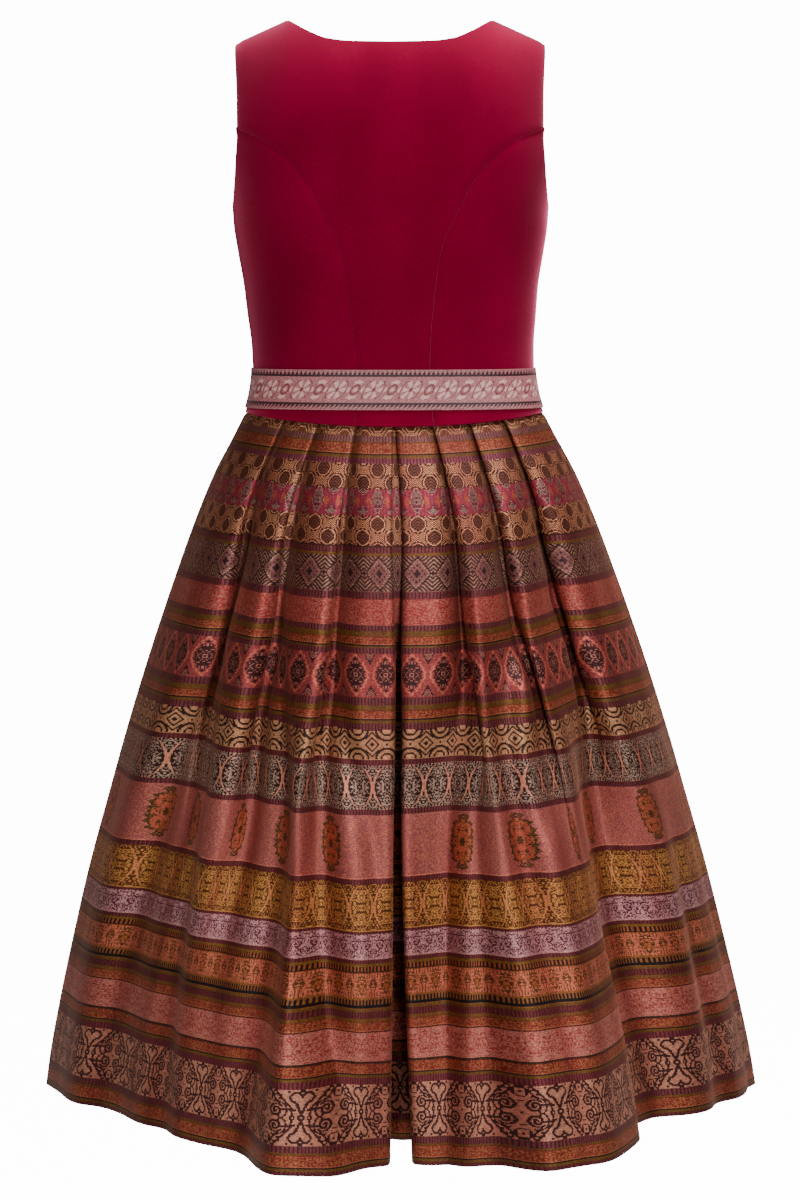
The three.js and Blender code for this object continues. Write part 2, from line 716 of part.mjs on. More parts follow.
// Materials
const velvet = new THREE.MeshStandardMaterial({
  color: COLOURS.velvet,
  roughness: 0.9,
  metalness: 0,
});
const ribbon = new THREE.MeshStandardMaterial({
  color: COLOURS.ribbon,
  roughness: 0.6,
  metalness: 0,
});
const jacquard = new THREE.MeshStandardMaterial({
  color: COLOURS.skirt,
  roughness: 0.65,
  metalness: 0,
});

const dirndl = new THREE.Group();
function addPiece(name, geometry, material) {
  const mesh = new THREE.Mesh(geometry, material);
  mesh.name = name;
  dirndl.add(mesh);
}

addPiece("bodice_back", backPanel(), velvet);
for (const side of SIDES) {
  addPiece(`bodice_side_back_${side.name}`, sidePanel("back", side.sign), velvet);
  addPiece(`bodice_side_front_${side.name}`, sidePanel("front", side.sign), velvet);
  addPiece(`bodice_front_${side.name}`, frontPanel(side.sign), velvet);
}
addPiece("belt_ribbon", belt(), ribbon);
addPiece("skirt_back", skirtPanel("back"), jacquard);
addPiece("skirt_front", skirtPanel("front"), jacquard);

export default dirndl;
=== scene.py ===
import math

import bpy
import numpy as np
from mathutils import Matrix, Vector


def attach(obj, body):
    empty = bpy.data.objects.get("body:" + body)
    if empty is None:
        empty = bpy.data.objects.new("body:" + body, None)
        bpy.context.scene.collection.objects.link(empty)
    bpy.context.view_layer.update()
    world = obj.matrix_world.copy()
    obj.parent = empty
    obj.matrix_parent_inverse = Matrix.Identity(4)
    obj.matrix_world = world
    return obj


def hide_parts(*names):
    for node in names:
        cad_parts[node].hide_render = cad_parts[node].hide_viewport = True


# A sleeveless dirndl seen from behind: velvet bodice, jacquard ribbon belt, pleated jacquard skirt.
# The shapes repeat the CAD part's tables in millimetres and are turned into metres at the end.
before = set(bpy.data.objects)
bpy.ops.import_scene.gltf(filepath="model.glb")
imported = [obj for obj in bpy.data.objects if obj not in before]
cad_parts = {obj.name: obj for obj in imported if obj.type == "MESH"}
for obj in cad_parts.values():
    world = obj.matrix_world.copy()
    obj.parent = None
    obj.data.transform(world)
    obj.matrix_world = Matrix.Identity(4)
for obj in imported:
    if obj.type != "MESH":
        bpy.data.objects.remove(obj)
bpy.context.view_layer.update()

MM = 0.001
FACING = {"back": -1, "front": 1}
SIDES = {"left": -1, "right": 1}

# ---- geometry
VELVET_WALL = 1.5
SKIRT_WALL = 1.2
RIBBON_WALL = 1.1
WAIST_SEAM_SIDE_Z = -390
WAIST_SEAM_DIP = 11
WAIST_HALF_WIDTH = 151
PRINCESS_FOOT_Z = -400
BELT_TOP_Z = -346
BELT_BOTTOM_Z = -385.5
BELT_GAP = 0.6
NECK_HALF_WIDTH = 101.5
SHOULDER_SLOPE = 0.452
NAPE_RISE = 10
SHOULDER_TIP_Z = -22
SHOULDER_ROUND = {"back": 120, "front": 150}
BUST_X, BUST_Z, BUST_OUT, BUST_WIDE, BUST_HIGH = 80, -232, 13, 46, 62
TORSO_POWER = 2.3
LEAN = [(-1080, 11), (-840, 8), (-560, 6), (-370, 4), (-250, 1), (0, 0)]
# z, half of the width, depth behind, depth before
TORSO = [
    (-403, 154, 96, 105), (-390, 149, 92, 101), (-368, 143, 85, 96), (-346, 140.5, 81, 94),
    (-323, 141, 80, 95), (-293, 144, 82, 102), (-263, 147, 85, 110), (-233, 152, 89, 114),
    (-203, 156.5, 93, 114), (-188, 157.5, 95, 113), (-170, 159.5, 96, 111), (-150, 162, 96, 109),
    (-128, 165, 95, 106), (-98, 167, 92, 100), (-60, 168, 88, 88), (12, 168, 84, 74),
]
ARMHOLE_FOOT_Z = {"back": -108, "front": -112}
# z, x of the panel's outer edge
EDGE = {
    "back": [
        (-403, 39), (-385, 37.5), (-345, 36), (-315, 38), (-287, 41), (-247, 46.5), (-222, 52), (-204, 60),
        (-177, 74), (-157, 86), (-138.5, 103), (-122.5, 124), (-108, 152.5), (-80, 152.7), (-50, 154),
        (-30, 155), (-20, 155),
    ],
    "front": [
        (-403, 62), (-345, 60), (-300, 69), (-260, 80), (-232, 86), (-205, 92), (-175, 103), (-150, 116),
        (-130, 129), (-112, 143), (-85, 143), (-60, 146.5), (-45, 150.5), (-30, 155), (-20, 155),
    ],
}
# part of the way from the princess seam to the side seam, z
UNDERARM = {
    "back": [(0, -108), (0.05, -128), (0.21, -150), (0.44, -170), (0.68, -182), (1, -188)],
    "front": [(0, -112), (0.08, -130), (0.23, -149), (0.48, -170), (0.69, -182), (1, -188)],
}
# x, z
NECK = {
    "back": [(0, -24.5), (40, -23.5), (62, -20.5), (80, -13), (92, -6), (101.5, 0)],
    "front": [
        (0, -128), (29, -126), (53, -117), (70, -101), (81, -79), (89, -52), (95, -25), (101.5, 0),
    ],
}
# z, half, back, front, power
SKIRT = [
    (-390, 148, 92, 101, 2.25), (-405, 155.5, 101, 110, 2.2), (-420, 163.5, 111, 119, 2.15),
    (-450, 179.5, 131, 137, 2.1), (-500, 200.5, 157, 161, 2.05), (-560, 222.5, 184, 187, 2.0),
    (-630, 246.5, 213, 214, 1.9), (-700, 268.5, 240, 239, 1.85), (-770, 288.5, 265, 262, 1.8),
    (-840, 308, 289, 284, 1.75), (-910, 325, 310, 303, 1.7), (-980, 341, 329, 321, 1.65),
    (-1030, 351, 342, 332, 1.6), (-1063, 356, 348, 338, 1.6),
]
SKIRT_TOP_Z, SKIRT_LENGTH = -390, 673
HEM = {
    "back": [
        (0, -1082), (4, -1082), (15, -1079), (30, -1073), (45, -1065), (65, -1063), (90, -1066),
    ],
    "front": [(0, -1074), (30, -1072), (60, -1065), (90, -1066)],
}
# crest, dive, foot, valley, under, top
PLEATS = [(15.4, 9, 12.5, 15.5, 21, 24.5), (30.7, 28.5, 32, 35, 38.6, 41), (47.7, 46, 50, 53, 60, 64)]
SIDE_ANGLES = [70, 76, 82, 86.5]
STRAIGHT_ANGLE, STRAIGHT_BLEND, SMALL_ANGLE = 5, 10, 0.4
# down, overlap, depth, spread, lobe
OPENING = [
    (0, 9, 6.6, 0, 0), (0.1, 8.5, 9, 0, 0.02), (0.25, 7, 14, 0, 0.08), (0.38, 4.5, 16, 0.12, 0.22),
    (0.5, 2, 14, 0.36, 0.42), (0.65, 1, 9, 0.62, 0.64), (0.8, 0.6, 6, 0.85, 0.85), (1, 0.4, 4, 1, 1),
]
# down, slot, tuck, depth, lip
BOX_PLEAT = [
    (0, 2.6, 23, 6.6, 2.6), (0.08, 4.6, 21, 8, 4), (0.17, 5.8, 18, 11, 5), (0.25, 5, 16, 24, 7),
    (0.33, 4.2, 14, 48, 9), (0.45, 4.4, 12, 78, 11), (0.7, 6, 7, 116, 14), (1, 10.5, 3, 150, 18),
]
# angle, outwards
LOBES = {
    "back_right": [
        (0, -48), (3, -46), (9, -34), (15.7, -8), (20.5, 24), (26.7, 38), (33, 25), (39, 14), (43.2, -22),
        (50, -20), (59, -5), (72, 3), (80, -5), (90, 0),
    ],
    "back_left": [
        (0, -40), (3, -36), (7, -15), (12, 2), (18.4, 18), (22, 4), (26, -11), (34, -15), (43, -8), (52, -13),
        (64, -2), (76, -7), (90, 0),
    ],
    "front_right": [
        (0, -40), (3, -38), (9, -12), (17, 20), (27, -10), (37, 14), (47, -16), (59, 6), (72, -7), (90, 0),
    ],
    "front_left": [
        (0, -42), (3, -38), (10, -6), (20, 22), (29, -4), (40, 10), (49, -18), (62, 4), (75, -6), (90, 0),
    ],
}
# Creases placed one by one. First the steep side: 1 right, -1 left, 0 both. Then from top to foot:
# hundredths of the way down, thousandths across, half of the width and the depth in millimetres.
# A depth below zero is a ridge
BACK_CREASES = [
    (-1, (6, 137, 5, 0), (12, 131, 5, 7), (22, 127, 6, 14), (32, 117, 7, 14), (42, 104, 8, 16.6),
     (52, 90, 10, 19.5), (64, 78, 12, 21.4), (80, 70, 14, 18.6), (100, 75, 15, 14.3)),
    (0, (30, 135, 7, 0), (40, 148, 8, 6.5), (50, 154, 11, 11.3), (70, 158, 15, 15.7), (90, 165, 15, 14.3),
     (100, 170, 15, 11.4)),
    (-1, (4, 250, 5, 0), (12, 242, 5, 8), (22, 237, 6, 14), (30, 236, 7, 15), (40, 236, 8, 15.1),
     (50, 238, 10, 17.6), (60, 240, 12, 15.4), (70, 241, 15, 7.2), (78, 241, 15, 0)),
    (0, (26, 248, 7, 0), (34, 262, 9, 9), (42, 282, 11, 13.3), (52, 299, 14, 18.2), (65, 306, 18, 20),
     (80, 303, 19, 17.2), (90, 287, 20, 14.3), (100, 270, 20, 10)),
    (-1, (4, 380, 5, 0), (12, 375, 5, 7), (22, 373, 6, 13), (32, 373, 7, 13), (42, 364, 8, 13.3),
     (50, 355, 10, 17.6), (60, 358, 12, 25.2), (70, 367, 14, 30), (80, 383, 15, 31.5), (88, 408, 18, 31.5),
     (95, 435, 19, 28.6), (100, 450, 19, 25.7)),
    (0, (30, 380, 7, 0), (40, 400, 9, 7.5), (50, 432, 11, 7.6), (58, 460, 12, 5.5), (65, 470, 11, 0)),
    (1, (4, 635, 5, 0), (12, 641, 5, 7), (24, 645, 6, 14), (30, 641, 7, 16), (36, 631, 9, 17.3),
     (42, 613, 11, 18.8), (50, 595, 14, 21.3), (60, 584, 15, 26.6), (75, 573, 16, 27.2), (90, 565, 15, 20),
     (100, 560, 15, 15.7)),
    (1, (46, 645, 8, 0), (60, 637, 11, 12.6), (75, 634, 14, 18.6), (90, 640, 16, 21.5),
     (100, 645, 18, 21.5)),
    (1, (3, 755, 5, 0), (12, 756, 5, 8), (22, 758, 6, 15), (28, 753, 7, 16), (33, 738, 9, 15),
     (38, 721, 10, 14.6), (46, 712, 11, 16.4), (60, 718, 14, 19.6), (72, 730, 16, 17.2), (85, 738, 18, 12.9),
     (100, 745, 18, 11.4)),
    (0, (38, 744, 6, 0), (45, 749, 7, 9.2), (52, 751, 8, 7.8), (58, 752, 7, 0)),
    (1, (2, 868, 5, 0), (10, 873, 6, 9), (18, 878, 8, 16), (24, 866, 9, 15), (29, 845, 10, 12),
     (35, 832, 10, 9), (50, 833, 11, 8.8), (70, 840, 14, 11.4), (100, 850, 15, 8.6)),
    (1, (22, 888, 6, 0), (30, 883, 7, 12), (40, 873, 8, 14), (55, 866, 10, 20.5), (70, 863, 12, 18.6),
     (85, 862, 15, 11.4), (100, 860, 15, 7.2)),
    (0, (55, 965, 11, 0), (70, 960, 15, 11.4), (85, 955, 16, 14.3), (100, 950, 18, 14.3)),
    (0, (25, 98, 7, 0), (40, 72, 11, -3.2), (55, 48, 14, -4), (80, 34, 16, -2.9), (100, 34, 11, 0)),
    (0, (12, 222, 8, 0), (25, 213, 11, -3.6), (40, 203, 12, -4.5), (60, 200, 18, -3.8), (85, 200, 25, -2.9),
     (100, 200, 18, 0)),
    (0, (15, 360, 8, 0), (25, 353, 11, -3), (35, 345, 11, -4.2), (50, 333, 12, -5.7), (65, 334, 16, -5.1),
     (80, 337, 16, -5.1), (100, 335, 21, -3.6)),
    (0, (20, 663, 7, 0), (30, 662, 9, -3.6), (40, 662, 11, -4.5), (55, 668, 14, -5.8), (70, 680, 18, -5.8),
     (80, 697, 20, -5.1), (100, 700, 21, -3.6)),
    (0, (46, 625, 6, 0), (60, 612, 11, -5.4), (75, 600, 14, -5.1), (90, 590, 16, -2.9), (100, 585, 11, 0)),
    (0, (10, 774, 8, 0), (30, 778, 11, -3), (45, 798, 16, -4.1), (65, 800, 29, -4.4), (90, 790, 35, -4.4),
     (100, 785, 35, -3.6)),
    (0, (18, 897, 7, 0), (35, 905, 11, -3), (60, 920, 15, -5.4), (80, 930, 18, -4.4), (100, 935, 18, -3.6)),
]


def creases(turn, start, span, wider, shallower):
    """The table's creases in parts of the way, turned round or changed a little."""
    return [
        (turn * steep, [
            (down / 100, start + span * (across / 1000), wide * wider, deep * shallower)
            for down, across, wide, deep in rows
        ])
        for steep, *rows in BACK_CREASES
    ]


# The front has no photograph: the same creases, the other way round, shifted, wider and shallower
CREASES = {"back": creases(1, 0, 1, 1, 1), "front": creases(-1, 0.99, -0.975, 1.08, 0.85)}
# A crease's gentle side is this much wider than its steep side
SOFT_SIDE = 2.6
# How far the fold edges stand aside: part of the way across, millimetres. Then its share by down
ASIDE = [(0, 0), (0.13, -7), (0.245, -9), (0.368, -3.5), (0.5, 2), (0.633, 10), (0.755, 6), (0.87, 8), (1, 0)]
ASIDE_SHARE = [(0, 0), (0.16, 1), (0.36, 1), (0.6, 0), (1, 0)]
# A pleat's layers as parts of its depth, and where it dives as parts of its panel
LAYERS = {
    "panel": 0.03, "dive": 0.1, "slope": 0.55, "foot": 1, "valley": 0.68, "middle": 0.52,
    "under": 0.36, "top": 0,
}
DIVE_START, DIVE_MIDDLE, DIVE_MIDDLE_AT_HEM, FOOT_SET_BACK = 0.26, 0.12, 0.6, 0.2
# Cloth from the middle to each fold, in millimetres: the box pleat's lip, then each pleat's inner
# fold and fold edge
LIP_U = 114
FOLD_U = [(208, 265), (359, 416), (510, 567)]


def curve(rows, column=1):
    """A smooth curve through a table's points that never overshoots them."""
    table = sorted((row[0], row[column]) for row in rows)
    xs, ys = np.array(table, float).T
    rise = np.diff(ys) / np.diff(xs)
    slopes = np.zeros(len(xs))
    slopes[0], slopes[-1] = rise[0], rise[-1]
    both = rise[:-1] * rise[1:]
    total = np.where(rise[:-1] + rise[1:] == 0, 1, rise[:-1] + rise[1:])
    slopes[1:-1] = np.where(both > 0, 2 * both / total, 0)

    def at(x):
        x = np.clip(np.asarray(x, float), xs[0], xs[-1])
        i = np.clip(np.searchsorted(xs, x, "right") - 1, 0, len(xs) - 2)
        span = xs[i + 1] - xs[i]
        t = (x - xs[i]) / span
        start = ys[i] * (1 + 2 * t) * (1 - t) ** 2 + slopes[i] * span * t * (1 - t) ** 2
        return start + ys[i + 1] * t * t * (3 - 2 * t) + slopes[i + 1] * span * t * t * (t - 1)

    return at


def mix(a, b, t):
    return a + (b - a) * t


def unit(v):
    return v / np.maximum(np.linalg.norm(v, axis=-1, keepdims=True), 1e-12)


def gaps(points, axis=1):
    """Distances between neighbours across a grid, or up it with axis 0."""
    return np.linalg.norm(np.diff(points, axis=axis), axis=-1)


def run(points, axis=1):
    """Distances walked from a grid's first column, or from its first row."""
    steps = gaps(points, axis)
    return np.concatenate([np.zeros_like(np.take(steps, [0], axis)), np.cumsum(steps, axis)], axis)


lean = curve(LEAN)
torso_half = curve(TORSO)
skirt_half, skirt_power = curve(SKIRT), curve(SKIRT, 4)
torso_depth, skirt_depth = (
    {"back": curve(table, 2), "front": curve(table, 3)} for table in (TORSO, SKIRT)
)
underarm_z, edge_x, neck_z, hem_z = (
    {face: curve(rows) for face, rows in table.items()} for table in (UNDERARM, EDGE, NECK, HEM)
)


def shoulder_z(x):
    inside = NAPE_RISE * (1 - (x / NECK_HALF_WIDTH) ** 2)
    return np.where(x > NECK_HALF_WIDTH, -(x - NECK_HALF_WIDTH) * SHOULDER_SLOPE, inside)


def waist_seam_z(x):
    across = np.minimum(abs(x) / WAIST_HALF_WIDTH, 1)
    return WAIST_SEAM_SIDE_Z - WAIST_SEAM_DIP * (1 - across**2)


def bodice_at(face, sign, x, z):
    """A point of the worn bodice's outside, x from its middle."""
    across = np.clip(x / torso_half(z), 0, 1)
    rounded = (1 - across**TORSO_POWER) ** (1 / TORSO_POWER)
    below = np.clip((shoulder_z(x) - z) / SHOULDER_ROUND[face], 0, 1)
    shoulder = np.sqrt(1 - (1 - below) ** 2)
    near = ((x - BUST_X) / BUST_WIDE) ** 2 + ((z - BUST_Z) / BUST_HIGH) ** 2
    bust = BUST_OUT * np.exp(-near) if face == "front" else 0
    depth = (torso_depth[face](z) + bust) * rounded * shoulder
    return np.stack([sign * x + lean(z), FACING[face] * depth, z + 0 * x], -1)


def round_x(angle, z):
    return torso_half(z) * np.sin(np.radians(np.minimum(angle, 90))) ** (2 / TORSO_POWER)


def angle_of(x, z):
    return np.degrees(np.arcsin(np.minimum(x / torso_half(z), 1) ** (TORSO_POWER / 2)))


def skirt_plain(face, sign, angle, down):
    z = SKIRT_TOP_Z - down * SKIRT_LENGTH
    power = skirt_power(z)
    across = np.clip(np.sin(np.radians(angle)), 0, 1)
    depth = (1 - across**power) ** (1 / power)
    return np.stack([sign * skirt_half(z) * across, FACING[face] * skirt_depth[face](z) * depth], -1)


def skirt_point(face, sign, angle, down, out):
    """A place of the skirt's section, moved outwards. Near the middle it moves straight."""
    here = skirt_plain(face, sign, angle, down)
    after = skirt_plain(face, sign, np.minimum(angle + SMALL_ANGLE, 90), down)
    along = unit(after - skirt_plain(face, sign, np.maximum(angle - SMALL_ANGLE, 0), down))
    sideways = np.clip((angle - STRAIGHT_ANGLE) / STRAIGHT_BLEND, 0, 1)
    way = np.stack([sign * abs(along[..., 1]) * sideways, FACING[face] * abs(along[..., 0])], -1)
    way = np.where((angle >= 90)[..., None], [sign, 0], way)
    return here + unit(way) * out[..., None]


def creased(face, points, down):
    """The rows of one side with their creases pressed in or lifted out."""
    half = skirt_half(SKIRT_TOP_Z - down * SKIRT_LENGTH)[:, None]
    moved = points.copy()
    middle = lean(points[..., 2])
    x = points[..., 0] - middle
    share = curve(ASIDE_SHARE)(down)[:, None]
    x = x - FACING[face] * share * curve(ASIDE)(0.5 - FACING[face] * x / half / 2)
    across = 0.5 - FACING[face] * x / half / 2
    out = np.zeros(x.shape)
    for steep, crease in CREASES[face]:
        place, wide, deep = (curve(crease, i)(down)[:, None] for i in (1, 2, 3))
        within = (down >= crease[0][0]) & (down <= crease[-1][0])
        away = (across - place) * 2 * half
        soft = (away * steep < 0) & (deep > 0)
        out -= deep * within[:, None] * np.exp(-((away / wide / np.where(soft, SOFT_SIDE, 1)) ** 2))
    angle = np.degrees(np.arcsin(np.clip(abs(x) / half, 0, 1)))
    rows = np.broadcast_to(down[:, None], x.shape)
    shift = skirt_point(face, 1, angle, rows, out) - skirt_plain(face, 1, angle, rows)
    moved[..., 0] = middle + x + np.where(x < 0, -1, 1) * shift[..., 0]
    moved[..., 1] += shift[..., 1]
    return moved


def quarter_places(face, side, down):
    """Places along the cloth of a quarter of the skirt, from the middle to the side, for each row:
    angle, distance out of the plain section."""
    lobe = curve(LOBES[f"{face}_{side}"])
    overlap, depth, spread, lobe_share = (curve(OPENING, i)(down) for i in (1, 2, 3, 4))
    slot, tuck, box_depth, lip = (curve(BOX_PLEAT, i)(down) for i in (1, 2, 3, 4))
    depth = depth * (1 - spread)
    half = skirt_half(SKIRT_TOP_Z - down * SKIRT_LENGTH)
    slot_angle = np.degrees(np.arcsin(slot / half))
    tuck_angle = slot_angle + np.degrees(tuck / half)
    lip_out = lobe(slot_angle) * lobe_share - lip
    places = [
        (0 * down, -box_depth),
        (tuck_angle, -box_depth),
        (tuck_angle, mix(-box_depth, lip_out, 0.4)),
        (mix(tuck_angle, slot_angle, 0.6), mix(-box_depth, lip_out, 0.75)),
        (slot_angle, lip_out),
    ]

    def add(angle, out):
        angle = angle + 0 * down
        places.append((angle, out + lobe(angle) * lobe_share))

    add(slot_angle + 0.4 * spread, -lip * 0.3 * spread)
    previous = slot_angle
    for fold, dive_hem, foot_hem, valley_hem, under_hem, top_hem in PLEATS:
        panel = fold - previous
        start = places[-1][0]
        dive = mix(fold - panel * DIVE_START, dive_hem, spread)
        for part in (0.34, 0.67):
            add(mix(start, dive, part), -depth * LAYERS["panel"] * part)
        for angle, hem_angle, layer in (
            (dive, dive, "dive"),
            (fold - panel * DIVE_MIDDLE, mix(dive_hem, foot_hem, DIVE_MIDDLE_AT_HEM), "slope"),
            (fold - FOOT_SET_BACK, foot_hem, "foot"),
            (fold + overlap, valley_hem - 1, "foot"),
            (fold + overlap, valley_hem + 1, "valley"),
            (fold + overlap * 0.5, mix(valley_hem, under_hem, 0.5), "middle"),
            (fold, under_hem, "under"),
            (fold, top_hem, "top"),
        ):
            add(mix(angle, hem_angle, spread), -depth * LAYERS[layer])
        previous = fold
    crest = places[-1][0]
    for part in (0.2, 0.45, 0.72):
        add(mix(crest, SIDE_ANGLES[0], part), 0 * down)
    for angle in SIDE_ANGLES:
        add(angle, 0 * down)
    places.append((90 + 0 * down, 0 * down))
    return tuple(np.stack(column, 1) for column in zip(*places))


def cloth_places(points, spread):
    """Cloth coordinates of a quarter's places. Inner folds and fold edges keep theirs at all rows."""
    arc = run(points)
    u = np.zeros(arc.shape)
    u[:, :5] = LIP_U * arc[:, :5] / arc[:, 4:5]
    first, start_u = 4, LIP_U
    for number, (inner, outer) in enumerate(FOLD_U):
        dive, valley, top = (6 + 10 * number + i for i in (2, 5, 9))
        whole = (inner - start_u) / (arc[:, valley] - arc[:, first])
        scale = mix(1, whole, spread**2)
        visible = slice(first, dive + 1)
        u[:, visible] = start_u + (arc[:, visible] - arc[:, first : first + 1]) * scale[:, None]
        for a, b, end in ((dive, valley, inner), (valley, top, outer)):
            part = (arc[:, a : b + 1] - arc[:, a : a + 1]) / (arc[:, b : b + 1] - arc[:, a : a + 1])
            u[:, a : b + 1] = mix(u[:, a : a + 1], end, part)
        first, start_u = top, outer
    u[:, first:] = start_u + arc[:, first:] - arc[:, first : first + 1]
    return u


def section_lines(face, down):
    """All rows of one side of the skirt, from left to right as seen from outside, and cloth u."""
    halves = []
    for side, sign in SIDES.items():
        angle, out = quarter_places(face, side, down)
        rows = np.broadcast_to(down[:, None], angle.shape)
        flat = skirt_point(face, sign, angle, rows, out)
        top = waist_seam_z(SKIRT[0][1] * np.sin(np.radians(angle)))
        z = mix(top, hem_z[face](angle), rows)
        points = np.concatenate([flat, z[..., None]], -1)
        points[..., 0] += lean(z)
        halves.append((points, sign * cloth_places(points, curve(OPENING, 3)(down))))
    if face == "front":
        halves.reverse()
    (left, left_u), (right, right_u) = halves
    points = np.concatenate([left[:, ::-1], right[:, 1:]], 1)
    return points, np.concatenate([left_u[:, ::-1], right_u[:, 1:]], 1)


def smooth_across(points, u, counts):
    """Each row as a soft curve through its places, with counts points in each step."""
    chord, length = np.diff(points, axis=1), gaps(points)[..., None]
    way = points[:, 2:] - points[:, :-2]
    way = unit(np.concatenate([chord[:, :1] * [0, 1, 0], way, chord[:, -1:] * [0, 1, 0]], 1))
    out, out_u = [], []
    for i, count in enumerate(counts):
        for t in np.arange(count) / count:
            a = points[:, i] * (1 + 2 * t) * (1 - t) ** 2 + points[:, i + 1] * t * t * (3 - 2 * t)
            b = way[:, i] * t * (1 - t) ** 2 + way[:, i + 1] * t * t * (t - 1)
            out.append(a + b * length[:, i])
            out_u.append(mix(u[:, i], u[:, i + 1], t))
    out.append(points[:, -1])
    out_u.append(u[:, -1])
    return np.stack(out, 1), np.stack(out_u, 1)


def outward(points):
    """Normals of a grid whose rows run upwards and whose columns run to the right."""
    return unit(np.cross(np.gradient(points, axis=1), np.gradient(points, axis=0)))


def edge_distance(points, soft):
    """How far each point of a grid lies from its nearest soft edge: left, right, bottom, top."""
    nearest = np.full(points.shape[:2], 1e9)
    for axis, first, last in ((1, soft[0], soft[1]), (0, soft[2], soft[3])):
        way = run(points, axis)
        if first:
            nearest = np.minimum(nearest, way)
        if last:
            nearest = np.minimum(nearest, np.take(way, [-1], axis) - way)
    return nearest


def grid_quads(rows, columns):
    """Corners of every quad of a closed wall: outer grid, inner grid and the four rims."""
    at = np.arange(rows * columns).reshape(rows, columns)
    inner = at + rows * columns

    walls = [
        (at[:-1, :-1], at[:-1, 1:], at[1:, 1:], at[1:, :-1]),
        (inner[:-1, :-1], inner[1:, :-1], inner[1:, 1:], inner[:-1, 1:]),
        (at[:-1, 0], at[1:, 0], inner[1:, 0], inner[:-1, 0]),
        (at[:-1, -1], inner[:-1, -1], inner[1:, -1], at[1:, -1]),
        (at[0, :-1], inner[0, :-1], inner[0, 1:], at[0, 1:]),
        (at[-1, :-1], at[-1, 1:], inner[-1, 1:], inner[-1, :-1]),
    ]
    return [np.stack(corners, -1).reshape(-1, 4) for corners in walls]


BAKE_MARGIN, BAKE_WIDE, BAKE_HIGH, BAKE_MIDDLE = 0.004, 0.992, 0.488, 0.504
RIM_LOWS, RIM_HIGH = (0.4928, 0.4952, 0.4976, 0.5), 0.0018


def bake_places(points, quads):
    """A map without overlaps: outside above, inside below, the rims in thin strips between."""
    rows, columns = points.shape[:2]
    across, up = run(points).mean(0), run(points, 0).mean(1)
    across, up = across / across[-1], up / up[-1]
    x, y = np.meshgrid(BAKE_MARGIN + BAKE_WIDE * across, up)
    outer = np.stack([x, BAKE_MIDDLE + BAKE_HIGH * y], -1).reshape(-1, 2)
    inner = np.stack([1 - x, BAKE_MARGIN + BAKE_HIGH * y], -1).reshape(-1, 2)
    spots = [outer[quads[0]], inner[quads[1] - rows * columns]]
    for low, steps, turned in zip(RIM_LOWS, (up, up, across, across), (False, True, True, False)):
        a, b = BAKE_MARGIN + BAKE_WIDE * steps[:-1], BAKE_MARGIN + BAKE_WIDE * steps[1:]
        lower, upper = np.full(len(a), low), np.full(len(a), low + RIM_HIGH)
        corners = [(a, lower), (b, lower), (b, upper), (a, upper)]
        if turned:
            corners = [(a, lower), (a, upper), (b, upper), (b, lower)]
        spots.append(np.stack([np.stack(c, -1) for c in corners], 1))
    return np.concatenate(spots).reshape(-1, 2)


def linked(name, data):
    item = bpy.data.objects.new(name, data)
    bpy.context.scene.collection.objects.link(item)
    return item


# Soft edges are rounded with this much of half the wall. Edges: left, right, bottom, top
ROUNDNESS = 0.94
ALL_SOFT, HEM_SOFT = (True, True, True, True), (False, False, True, False)


def shell(node, points, cloth, outer, inner, soft, material):
    """A closed thin wall on a grid of points in millimetres, with its soft edges rounded.
    cloth holds each point's own cloth coordinates in millimetres. It replaces the CAD node."""
    name = f"{node}_cloth"
    rows, columns = points.shape[:2]
    normal = outward(points)
    radius = (outer - inner) / 2 * ROUNDNESS
    near = np.minimum(edge_distance(points, soft), radius)
    pull = (radius - np.sqrt(radius**2 - (radius - near) ** 2))[..., None]
    outside = points + normal * (outer - pull)
    inside = points + normal * (inner + pull)
    vertices = np.concatenate([outside.reshape(-1, 3), inside.reshape(-1, 3)]) * MM
    quads = grid_quads(rows, columns)
    corners = np.concatenate(quads)
    mesh = bpy.data.meshes.new(name)
    mesh.from_pydata(vertices.tolist(), [], corners.tolist())
    mesh.polygons.foreach_set("use_smooth", [True] * len(mesh.polygons))
    both = np.concatenate([cloth.reshape(-1, 2)] * 2) * MM
    maps = {"cloth": both[corners.reshape(-1)], "OFBake": bake_places(points, quads)}
    for map_name, uv in maps.items():
        layer = mesh.uv_layers.new(name=map_name)
        layer.data.foreach_set("uv", uv.astype(np.float32).ravel())
    mesh.uv_layers["cloth"].active = True
    mesh.uv_layers["cloth"].active_render = True
    mesh.materials.append(material)
    mesh.validate()
    piece = linked(name, mesh)
    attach(piece, "root")
    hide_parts(node)
    return piece


# Grid lines near a soft edge, in millimetres from it
EDGE_PLACES = [0, 0.2, 0.5, 0.9, 1.5, 2.5, 4]


def spaced(length, step):
    """Parts of a length, close together near its soft ends."""
    *near, inmost = EDGE_PLACES
    count = max(2, round((length - 2 * inmost) / step) + 1)
    middle = np.linspace(inmost, length - inmost, count)
    return np.concatenate([near, middle, [length - d for d in near][::-1]]) / length


# ---- materials
def arithmetic(operation):
    return lambda self, other: self.math(operation, other)


